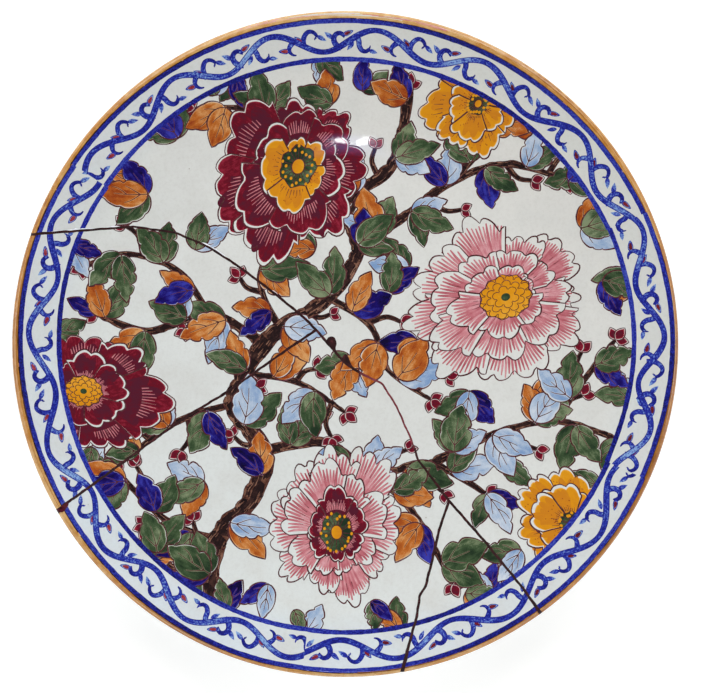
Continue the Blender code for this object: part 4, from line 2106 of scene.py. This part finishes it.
def tube(rings: np.ndarray, name: str, tone: np.ndarray) -> bpy.types.Mesh:
    """Skin rings of points, which go round a closed solid one after the other.

    Args:
        rings: Positions in metres: one row of points for each ring, clockwise for an eye at the
            first ring that looks towards the last.
        name: The mesh's name.
        tone: How thin the filling is at each ring, from 0 to 1.

    Returns:
        The mesh, shut at both ends.
    """
    count, around, _ = rings.shape
    index = np.arange(count * around).reshape(count, around)
    here, far = index[:-1], index[1:]
    sides = np.stack([here, np.roll(here, -1, 1), np.roll(far, -1, 1), far], 2).reshape(-1, 4)
    ends = [index[0, ::-1].tolist(), index[-1].tolist()]
    mesh = bpy.data.meshes.new(name)
    mesh.from_pydata(rings.reshape(-1, 3).tolist(), [], sides.tolist() + ends)
    tones = np.repeat(tone, around).astype(np.float32)
    mesh.attributes.new("tone", "FLOAT", "POINT").data.foreach_set("value", tones)
    mesh.validate()
    return mesh


@dataclass(frozen=True)
class AdhesiveSeam:
    """Old adhesive in one crack: it laps a hair over the glaze on both sides and stands proud of it.

    Rust says between which two positions it was wiped thin and shows red.
    """

    crack: Crack
    lap: float = 0.12
    crown: float = 0.09
    bite: float = 0.16
    rust: tuple[complex, complex] | None = None

    def places(self, middle: Loop) -> np.ndarray:
        """Where rings go along the crack, counted in its stations, closer together at the rim.

        Args:
            middle: The crack's middle at each station.

        Returns:
            The places.
        """
        fine = np.arange(0, len(middle) - 1, 0.02)
        radius = np.interp(fine, np.arange(len(middle)), np.abs(middle))
        inside = fine[radius < SECTION.radius - 0.02]
        first, last = inside[0], min(inside[-1], len(middle) - (1.5 if self.crack.joins else 1))
        near = np.array([0, 0.05, 0.15, 0.35, 0.6, 0.9, 1.3, 1.8])
        far = last - near if not self.crack.joins else np.array([last])
        return np.concatenate([first + near, np.arange(first + 2.4, last - 2.3, 0.6), far[::-1]])

    def build(self, material: Material) -> Piece:
        """Make the seam.

        Args:
            material: What it is made of.

        Returns:
            The finished object.
        """
        rng = random.Random(self.crack.name + "_seam")
        edges = [*self.crack.edges(top=True), *self.crack.edges(top=False)]
        count = np.arange(len(edges[0]))
        place = self.places((edges[2] + edges[3]) / 2)
        left, right, low_left, low_right = (np.interp(place, count, edge) for edge in edges)
        across, low_across = ((a - b) / np.abs(a - b) for a, b in ((left, right), (low_left, low_right)))
        wobble = [
            sum(np.sin(math.tau * place / size + rng.uniform(0, math.tau)) for size in (3.1, 7.3, 17)) / 3
            for _ in range(4)
        ]
        lap = [self.lap * (0.9 + 0.9 * w) for w in wobble[:2]]
        crown = self.crown * (1 + 0.6 * wobble[2]) * np.where(np.abs(left - right) > 1.9, -1.5, 1)
        upper, lower = SECTION.top(np.abs(left))[0], SECTION.bottom(np.abs(left))[0]
        deep = np.minimum(0.4, 0.25 * np.maximum(upper - lower, 0.01))
        thin = np.minimum(1, (upper - lower) / 2)
        shoulder = 0.5 * self.crown * thin
        arch = ((0.2, 0.9), (0.5, 1.1), (0.8, 0.9))
        rings = [
            (right - across * lap[0], True, -0.03),
            (right - across * lap[0] * 0.4, True, shoulder),
            *((right + (left - right) * share, True, crown * thin * rise) for share, rise in arch),
            (left + across * lap[1] * 0.4, True, shoulder),
            (left + across * lap[1], True, -0.03),
            (left + across * self.bite, True, -deep),
            (low_left + low_across * self.bite, False, deep),
            (low_left + low_across * self.lap, False, 0.02),
            ((low_left + low_right) / 2, False, -shoulder),
            (low_right - low_across * self.lap, False, 0.02),
            (low_right - low_across * self.bite, False, deep),
            (right - across * self.bite, True, -deep),
        ]
        tone = np.zeros_like(place)
        if self.rust:
            middle = (left + right) / 2
            ends = sorted(int(np.abs(middle - spot).argmin()) for spot in self.rust)
            stops = [end + step for end in ends for step in (-5, 5)]
            ramp = np.interp(np.arange(len(place)), stops, (0, 1, 1, 0))
            tone = ramp * (0.8 + 0.3 * wobble[3])
        name = f"adhesive_{self.crack.name}"
        skin = [over_plate(inside_rim(plan), top, rise) for plan, top, rise in rings]
        mesh = tube(np.stack(skin[::-1], 1), f"{name}_bead", tone)
        mesh.materials.append(material)
        return new_piece(mesh.name, mesh, name)


@dataclass(frozen=True)
class RimFiller:
    """Lump of wax filler in the notch where the left crack leaves the rim, domed above and below."""

    lap: float = 1.08
    dome: float = 0.45
    rings: int = 7

    def build(self, material: Material) -> Piece:
        """Make the lump.

        Args:
            material: What it is made of.

        Returns:
            The finished object.
        """
        outline = inside_rim(spline(RIM_LUMP, 0.45, closed=True))
        centre = outline.mean()
        rings = []
        for turn in np.linspace(0.02, math.pi - 0.02, 2 * self.rings):
            plan = inside_rim(centre + (outline - centre) * self.lap * math.sin(turn) ** 0.6)
            bulge = self.dome * math.cos(turn) * (1 + 0.25 * np.sin(2.1 * plan.real + 1.3 * plan.imag))
            rings.append(over_plate(plan, turn < math.pi / 2, bulge))
        mesh = tube(np.array(rings)[::-1], "rim_filler_lump", np.zeros(2 * self.rings))
        mesh.materials.append(material)
        return new_piece(mesh.name, mesh, "rim_filler")


# ---------------- the decoration as a whole

LEAF_PAINTS = {"g": Paint.GREEN, "c": Paint.COBALT, "s": Paint.SKY, "o": Paint.ORANGE}
FOLIAGE = tuple(LEAF_PAINTS[letter] for letter in "gggggccssoo")


@dataclass(frozen=True)
class WellPicture:
    """Flowering branches over the well, with single sprays between them.

    A spray has its base, its heading, its length and a letter for each of its leaves. Stray ones
    come in from the ring at this angle and lean away from the middle by so many degrees.
    """

    branches: tuple[Branch, ...] = (
        Branch((-38 - 50j, -10 - 46j, 14 - 60j, 40 - 56j, 66 - 70j), 4.8, 0.5),
        Branch((-38 + 0j, -64 + 14j, -92 + 6j, -116 + 14j), 4.8, 0.5, first=20),
        Branch((-64 + 14j, -78 + 34j, -102 + 42j, -122 + 36j), 3.2, 0.6),
        Branch((4 + 44j, 28 + 60j, 50 + 76j, 76 + 84j, 104 + 76j), 4.8, 0.45),
        Branch((50 + 76j, 66 + 96j, 62 + 116j), 3, 0.6),
        Branch((40 - 56j, 70 - 42j, 98 - 36j, 126 - 44j), 3.8, 0.6),
        Branch((98 - 36j, 112 - 16j, 126 + 2j), 3, 0.6),
        Branch((-60 - 92j, -84 - 82j, -106 - 60j), 4, 0.5),
        Branch((-52 - 28j, -78 - 36j, -98 - 50j), 3.4, 0.6),
        Branch((-8 + 22j, 12 + 8j, 20 - 12j, 40 - 26j), 3, 0.5),
        Branch((-46 - 14j, -22 - 18j, 0 - 32j), 2.8, 0.6),
        Branch((14 - 60j, 34 - 82j, 50 - 112j), 3.2, 0.6),
        Branch((-4 + 68j, -34 + 106j, -70 + 110j), 3, 0.6, first=30),
        Branch((-30 + 6j, -40 + 30j, -32 + 52j), 2.8, 0.6, first=10),
        Branch((-62 - 108j, -80 - 104j, -92 - 92j), 2.6, 0.6, first=8),
        Branch(
            (
                -64 - 120j, -60 - 92j, -44 - 72j, -38 - 50j, -52 - 28j, -36 + 2j, -8 + 22j, 6 + 44j,
                0 + 66j, 22 + 84j, 30 + 120j,
            ),
            9.5,
            0.45,
            27,
        ),
    )  # fmt: skip
    sprays: tuple[tuple[complex, float, float, str], ...] = (
        (-78 + 96j, 128, 23, "gcg"), (-92 + 70j, 176, 24, "cog"), (-60 + 116j, 92, 17, "sg"),
        (-6 + 112j, 128, 19, "og"), (8 + 118j, 60, 16, "gc"), (78 + 100j, 52, 22, "ogs"),
        (104 + 76j, 12, 20, "gc"), (110 + 54j, 20, 22, "sgo"), (120 + 30j, 320, 20, "cg"),
        (30 + 36j, 150, 20, "gs"), (34 + 2j, 210, 20, "co"), (58 - 22j, 262, 22, "gsc"),
        (92 - 16j, 296, 20, "og"), (66 - 70j, 300, 21, "gsc"), (126 - 44j, 270, 18, "go"),
        (82 - 96j, 214, 20, "gs"), (56 - 116j, 342, 18, "og"), (12 - 120j, 300, 15, "gc"),
        (-36 - 112j, 240, 18, "cs"), (-24 - 124j, 290, 12, "g"), (-106 - 60j, 200, 22, "gcs"),
        (-96 - 50j, 160, 18, "og"), (-118 - 48j, 250, 15, "g"), (-116 + 14j, 150, 16, "c"),
        (-70 + 44j, 60, 20, "sg"), (-14 + 44j, 160, 18, "go"), (20 + 24j, 60, 20, "cg"),
        (4 - 8j, 240, 22, "gos"), (-66 - 64j, 200, 22, "sgo"), (74 - 54j, 320, 18, "g"),
    )  # fmt: skip
    strays: tuple[tuple[float, float, float, str], ...] = (
        (14, 20, 19, "go"), (36, -24, 18, "g"), (95, 10, 17, "sg"), (112, -30, 17, "gc"),
        (144, 14, 20, "go"), (160, -20, 18, "sc"), (178, 24, 17, "g"), (206, 10, 20, "gs"),
        (227, -16, 19, "og"), (246, 14, 18, "cg"), (262, -20, 16, "s"), (281, 20, 18, "go"),
        (300, -12, 18, "cs"), (331, 16, 17, "g"), (349, -22, 19, "sg"),
    )  # fmt: skip
    stray_start: float = 136

    def draw(self, canvas: Canvas) -> None:
        """Lay the branches, the leaves over them, and the blossoms on top.

        Args:
            canvas: The decoration so far.
        """
        canvas.region = Region.WELL
        for branch in self.branches:
            branch.draw_twigs(canvas)
            branch.draw(canvas)
        strays = (
            (self.stray_start * turned(angle), angle + 180 + lean, length, letters)
            for angle, lean, length, letters in self.strays
        )
        for base, heading, length, letters in (*strays, *self.sprays):
            Spray(base, heading, length, tuple(LEAF_PAINTS[letter] for letter in letters)).draw(canvas)
        for branch in self.branches:
            branch.draw_leaves(canvas)
        for blossom in self.blossoms():
            blossom.draw(canvas)
        canvas.region = Region.ANYWHERE

    @staticmethod
    def blossoms() -> tuple[Blossom, ...]:
        """The blossoms, with the open ones last.

        Returns:
            The blossoms in the order in which they are laid.
        """
        velvet = (PetalRing(7, 1, Petal.VELVET), PetalRing(6, 0.7, Petal.VELVET, 1.3, 3, 25))
        gold = (PetalRing(7, 1, Petal.GOLD), PetalRing(6, 0.66, Petal.GOLD, 1.25, 3, 20))
        rose = (
            PetalRing(9, 1, Petal.STRIPED),
            PetalRing(8, 0.74, Petal.STRIPED, 1.3, 3, 22),
            PetalRing(6, 0.48, Petal.STRIPED, 1.25, 3, 8),
        )
        return (
            Blossom(62 + 112j, 24, 230, gold, threaded_heart),
            Blossom(-122 - 22j, 32, 350, velvet, golden_heart),
            Blossom(106 - 84j, 28, 140, gold, threaded_heart),
            Blossom(-22 + 83j, 43, 250, (*velvet, PetalRing(5, 0.44, Petal.GOLD, 1.25, 3)), threaded_heart),
            Blossom(-4 - 88j, 39, 90, (*rose[:2], PetalRing(6, 0.46, Petal.VELVET, 1.2, 3)), threaded_heart),
            Blossom(75 + 22j, 45, 200, rose, golden_heart),
        )


@dataclass(frozen=True)
class LipPaint:
    """How the iron ochre of the lip varies round the rim, and what strays over it.

    Tones are given every 30 degrees from +x, from pale tan at 0 to brown at 1.
    """

    tones: tuple[float, ...] = (0.85, 0.5, 0.42, 0.1, 0.36, 0.47, 0.6, 0.16, 0.7, 0.2, 0.5, 0.75)
    width: float = 4.4
    inset: float = 1.6
    sector: int = 10
    run_step: float = 8.0
    streaks: int = 34
    highlight_smears: int = 22

    def draw(self, canvas: Canvas) -> None:
        """Lay the lip in short sectors, with pale streaks, dark runs where it meets the band, and painted
        highlights at its top.

        Args:
            canvas: The decoration so far.
        """
        rng = canvas.rng
        turn, tones = range(0, 361, 30), (*self.tones, self.tones[0])
        for start in range(0, 360, self.sector):
            angle = np.linspace(start, start + self.sector, 13)
            path = (SECTION.radius - self.inset) * np.exp(1j * np.radians(angle))
            wash = Wash(path[0], path[-1], *np.interp((start, start + self.sector), turn, tones))
            loop = ribbon(path, self.width)
            canvas.patches.insert(0, Patch(loop, Paint.LIP, wash))
        # dark runs along the band, broadest on the left
        for start in np.arange(0, 360, self.run_step):
            angle = start + np.linspace(0, rng.uniform(7, 9), 13)
            path = (ring_radius(angle, band=True) + 1.18) * np.exp(1j * np.radians(angle))
            broad = 0.36 + 0.3 * max(0, math.cos(math.radians(start - 168)))
            girth = broad * np.array([rng.uniform(0.55, 1.25) for _ in angle])
            wash = Wash(path[0], path[-1], rng.uniform(0, 0.6), rng.uniform(0, 0.6))
            canvas.lay(ribbon(path, girth), Paint.WOOD, wash)
        # streaks on the crown of the lip, all round but for its top
        for _ in range(self.streaks):
            angle = rng.uniform(108, 430) + np.linspace(0, rng.uniform(6, 22), 25)
            path = rng.uniform(152.9, 154.6) * np.exp(1j * np.radians(angle))
            tone = rng.choice((0, 0.9, 1))
            canvas.stroke(path, rng.uniform(0.16, 0.3), 0.5, Paint.LIP, even(tone))
        # painted highlights at the top: pink and white smears where the lip mirrors the light
        for k in range(self.highlight_smears):
            angle = rng.uniform(68, 106) + np.linspace(0, rng.uniform(3, 9), 7)
            path = rng.uniform(152.7, 154.3) * np.exp(1j * np.radians(angle))
            paint = Paint.ROSE if k % 2 else Paint.GROUND
            canvas.stroke(path, rng.uniform(0.2, 0.45), 0.4, paint, Wash(low=0.2, high=0.4))


@dataclass(frozen=True)
class ChipWearAndGlint:
    """Chips along the breaks: fine slivers of glaze lost, painted paler than the body as a painted glint
    where their edges catch the light.
    """

    slivers: tuple[tuple[complex, complex, float], ...] = (
        (-137 + 52.3j, -129 + 52.9j, 0.45), (-132 + 52.6j, -117 + 53.8j, 0.8),
        (-111 + 54.4j, -105 + 54.9j, 0.6), (-67 + 47.5j, -63 + 45.7j, 0.5),
        (-64 + 46.1j, -56 + 41.1j, 0.55), (-34 + 25.2j, -31 + 22.6j, 0.35),
    )  # fmt: skip

    def draw(self, canvas: Canvas) -> None:
        """Lay the slivers.

        Args:
            canvas: The decoration so far.
        """
        rng = canvas.rng
        for start, end, width in self.slivers:
            share = np.linspace(0, 1, 15)
            bow = width * np.sin(math.pi * share) * np.array([rng.uniform(0.5, 1.2) for _ in share])
            path = start + (end - start) * share
            step = 1j * (end - start) / abs(end - start)
            # each sliver is a real chip, painted bright as a painted glint
            canvas.fill(np.concatenate([path - step * 0.8, (path + step * bow)[::-1]]), Paint.CHIP)


# ---------------- the studio


# Cycles spreads a lamp's watts over four times its area to get its radiance
WATTS = 4.0


def hang_lamp(
    name: str, size: tuple[float, float], radiance: float, colour: str, place: Vector, way: Vector
) -> None:
    """Hang a flat lamp of this size in metres at a place, turned to shine against a direction.

    Args:
        name: The lamp's name.
        size: Its width and height.
        radiance: How bright its face is.
        colour: Its colour as a hex value.
        place: Where it hangs.
        way: Where its light comes from, seen from the plate.
    """
    lamp = bpy.data.lights.new(name, "AREA")
    lamp.shape = "RECTANGLE"
    lamp.size, lamp.size_y = size
    lamp.energy = radiance * WATTS * size[0] * size[1]
    lamp.color = linear(colour)[:3]
    stand = bpy.data.objects.new(name, lamp)
    stand.location = place
    stand.rotation_euler = way.to_track_quat("Z", "Y").to_euler()
    bpy.context.scene.collection.objects.link(stand)


@dataclass(frozen=True)
class LampRing:
    """Soft lamps all round the plate, too low for the glaze to mirror them upwards.

    Share is what they give of the light under which white renders as white, and the lamps towards
    the azimuth key are brighter than the mean by up to the lead.
    """

    count: int = 6
    elevation: float = 27
    size: float = 1.0
    distance: float = 2.4
    share: float = 0.652
    key: float = 88
    lead: float = 0.32

    def build(self) -> None:
        """Put the lamps up, each bright enough for its part of the share on a level surface."""
        rise = math.sin(math.radians(self.elevation))
        for number in range(self.count):
            azimuth = 360 * number / self.count
            share = self.share / self.count * (1 + self.lead * math.cos(math.radians(azimuth - self.key)))
            flat = turned(azimuth) * math.sqrt(1 - rise * rise)
            way = Vector((flat.real, flat.imag, rise))
            radiance = share * math.pi * self.distance**2 / (self.size**2 * rise)
            hang_lamp(f"softbox_{number}", (self.size,) * 2, radiance, "FFFFFF", way * self.distance, way)


@dataclass(frozen=True)
class WindowPane:
    """A bright pane that shows as a highlight at one place on the glaze."""

    highlight: complex
    width: float
    height: float
    radiance: float = 60
    colour: str = "FFFFFF"
    distance: float = 2.5

    def build(self, name: str, eye: Vector) -> None:
        """Put the pane where the glaze mirrors it to the eye.

        Args:
            name: The lamp's name.
            eye: Where the camera is.
        """
        height, out, up = (float(v[0]) for v in SECTION.top(np.array([abs(self.highlight)])))
        flat = self.highlight / abs(self.highlight) * out
        normal = Vector((flat.real, flat.imag, up)).normalized()
        spot = Vector((self.highlight.real, self.highlight.imag, height)) * MM
        look = (eye - spot).normalized()
        way = 2 * normal.dot(look) * normal - look
        place = spot + way * self.distance
        hang_lamp(name, (self.width, self.height), self.radiance, self.colour, place, way)


@dataclass(frozen=True)
class Studio:
    """A pale floor, soft even light from all round, and a camera straight above the plate.

    The room is dim overhead and pale lower down, so that the glaze mirrors little of it upwards and
    its colours stay deep. Aim, view width and floor drop are in millimetres, the rest is in metres.
    """

    aim: tuple[float, float] = (2.46, -1.16)
    view_width: float = 325.97
    camera_height: float = 4.0
    sensor: float = 36
    ceiling: float = 0.1
    walls: float = 0.85
    horizon: tuple[float, float] = (0.2, 0.75)
    floor: str = "F2F2F0"
    floor_glow: float = 0.33
    floor_half: float = 3.0
    floor_drop: float = 0.05
    lamps: LampRing = LampRing()
    panes: tuple[WindowPane, ...] = (
        # narrow glints
        WindowPane(-3.6 + 95.2j, 0.008, 0.06),
        WindowPane(-1.4 + 95j, 0.008, 0.09),
        WindowPane(6.6 + 93.8j, 0.007, 0.07),
        WindowPane(8.4 + 94.9j, 0.007, 0.08),
        WindowPane(10.2 + 96.2j, 0.006, 0.06),
        WindowPane(2.2 + 94j, 0.004, 0.02, 30),
        # the blue glow round them, brighter towards its middle
        WindowPane(3 + 93j, 0.21, 0.38, 0.6, "9AA4FF"),
        WindowPane(3 + 93.4j, 0.16, 0.3, 0.7, "9AA4FF"),
        WindowPane(3.4 + 93.8j, 0.11, 0.22, 0.8, "9AA4FF"),
    )

    def build(self) -> None:
        """Set up the stage."""
        scene = bpy.context.scene
        scene.view_settings.view_transform = "Standard"
        world = bpy.data.worlds.new("studio_room")
        world.use_nodes = True
        tree = world.node_tree
        way = add_node(tree, "TexCoord", out="Generated")
        rise = add_node(tree, "SeparateXYZ", {0: way}, out="Z")
        low, high = self.horizon
        span = {"Value": rise, "From Min": low, "From Max": high}
        span |= {"To Min": self.walls, "To Max": self.ceiling}
        tree.links.new(add_node(tree, "MapRange", span), tree.nodes["Background"].inputs["Strength"])
        tree.nodes["Background"].inputs["Color"].default_value = (1, 1, 1, 1)
        scene.world = world
        rim = SECTION.lip_centre[1] + SECTION.lip
        camera = bpy.data.cameras.new("overhead_camera")
        camera.sensor_width = self.sensor
        camera.lens = self.sensor * self.camera_height / (self.view_width * MM)
        stand = bpy.data.objects.new("overhead_camera", camera)
        stand.location = (self.aim[0] * MM, self.aim[1] * MM, rim * MM + self.camera_height)
        scene.collection.objects.link(stand)
        scene.camera = stand
        self.lamps.build()
        for number, pane in enumerate(self.panes):
            pane.build(f"window_pane_{number}", stand.location)
        self.build_floor()

    def build_floor(self) -> None:
        """Lay the floor: matt white, and as bright as white paper to the camera and in reflections."""
        half, level = self.floor_half, -self.floor_drop * MM
        mesh = bpy.data.meshes.new("floor")
        corners = [(x, y, level) for x, y in ((-half, -half), (half, -half), (half, half), (-half, half))]
        mesh.from_pydata(corners, [], [(0, 1, 2, 3)])
        # White paper, matt: it shows no reflection and takes only the plate's soft shadow
        made = Shading("white_paper_floor_matt")
        tree = made.material.node_tree
        seen = add_node(tree, "LightPath", out="Is Camera Ray")
        for way in ("Is Glossy Ray", "Is Transmission Ray"):
            other = add_node(tree, "LightPath", out=way)
            seen = add_node(tree, "Math", {0: seen, 1: other}, operation="MAXIMUM")
        glow = add_node(tree, "Math", {0: seen, 1: self.floor_glow}, operation="MULTIPLY")
        made.connect(Base_Color=linear(self.floor), Roughness=0.9)
        made.connect(Emission_Color=(1, 1, 1, 1), Emission_Strength=glow)
        mesh.materials.append(made.material)
        floor = bpy.data.objects.new("floor", mesh)
        bpy.context.scene.collection.objects.link(floor)


def main() -> None:
    """Paint the plate, cut it into its shards, fill the cracks and light it."""
    logging.basicConfig(level=logging.INFO, format="%(name)s: %(message)s")
    canvas = Canvas(random.Random(SEED))
    WellPicture().draw(canvas)
    for strip in PRINT_STRIPS:
        strip.draw(canvas)
    LipPaint().draw(canvas)
    ChipWearAndGlint().draw(canvas)
    face = PaintedFace.cut_from(canvas)
    base, base_owner = underside_sheet()
    palette = shard_palette()
    for shard in shards():
        shard.build(face, base, base_owner, palette)
    adhesive = OLD_ADHESIVE.material()
    AdhesiveSeam(LONG_CRACK, rust=(7.3 - 14j, 33 - 50j)).build(adhesive)
    AdhesiveSeam(LEFT_CRACK, lap=0.2).build(adhesive)
    AdhesiveSeam(LOWER_CRACK).build(adhesive)
    RimFiller().build(FILLER_WAX.material())
    Studio().build()


if __name__ == "__main__":
    main()
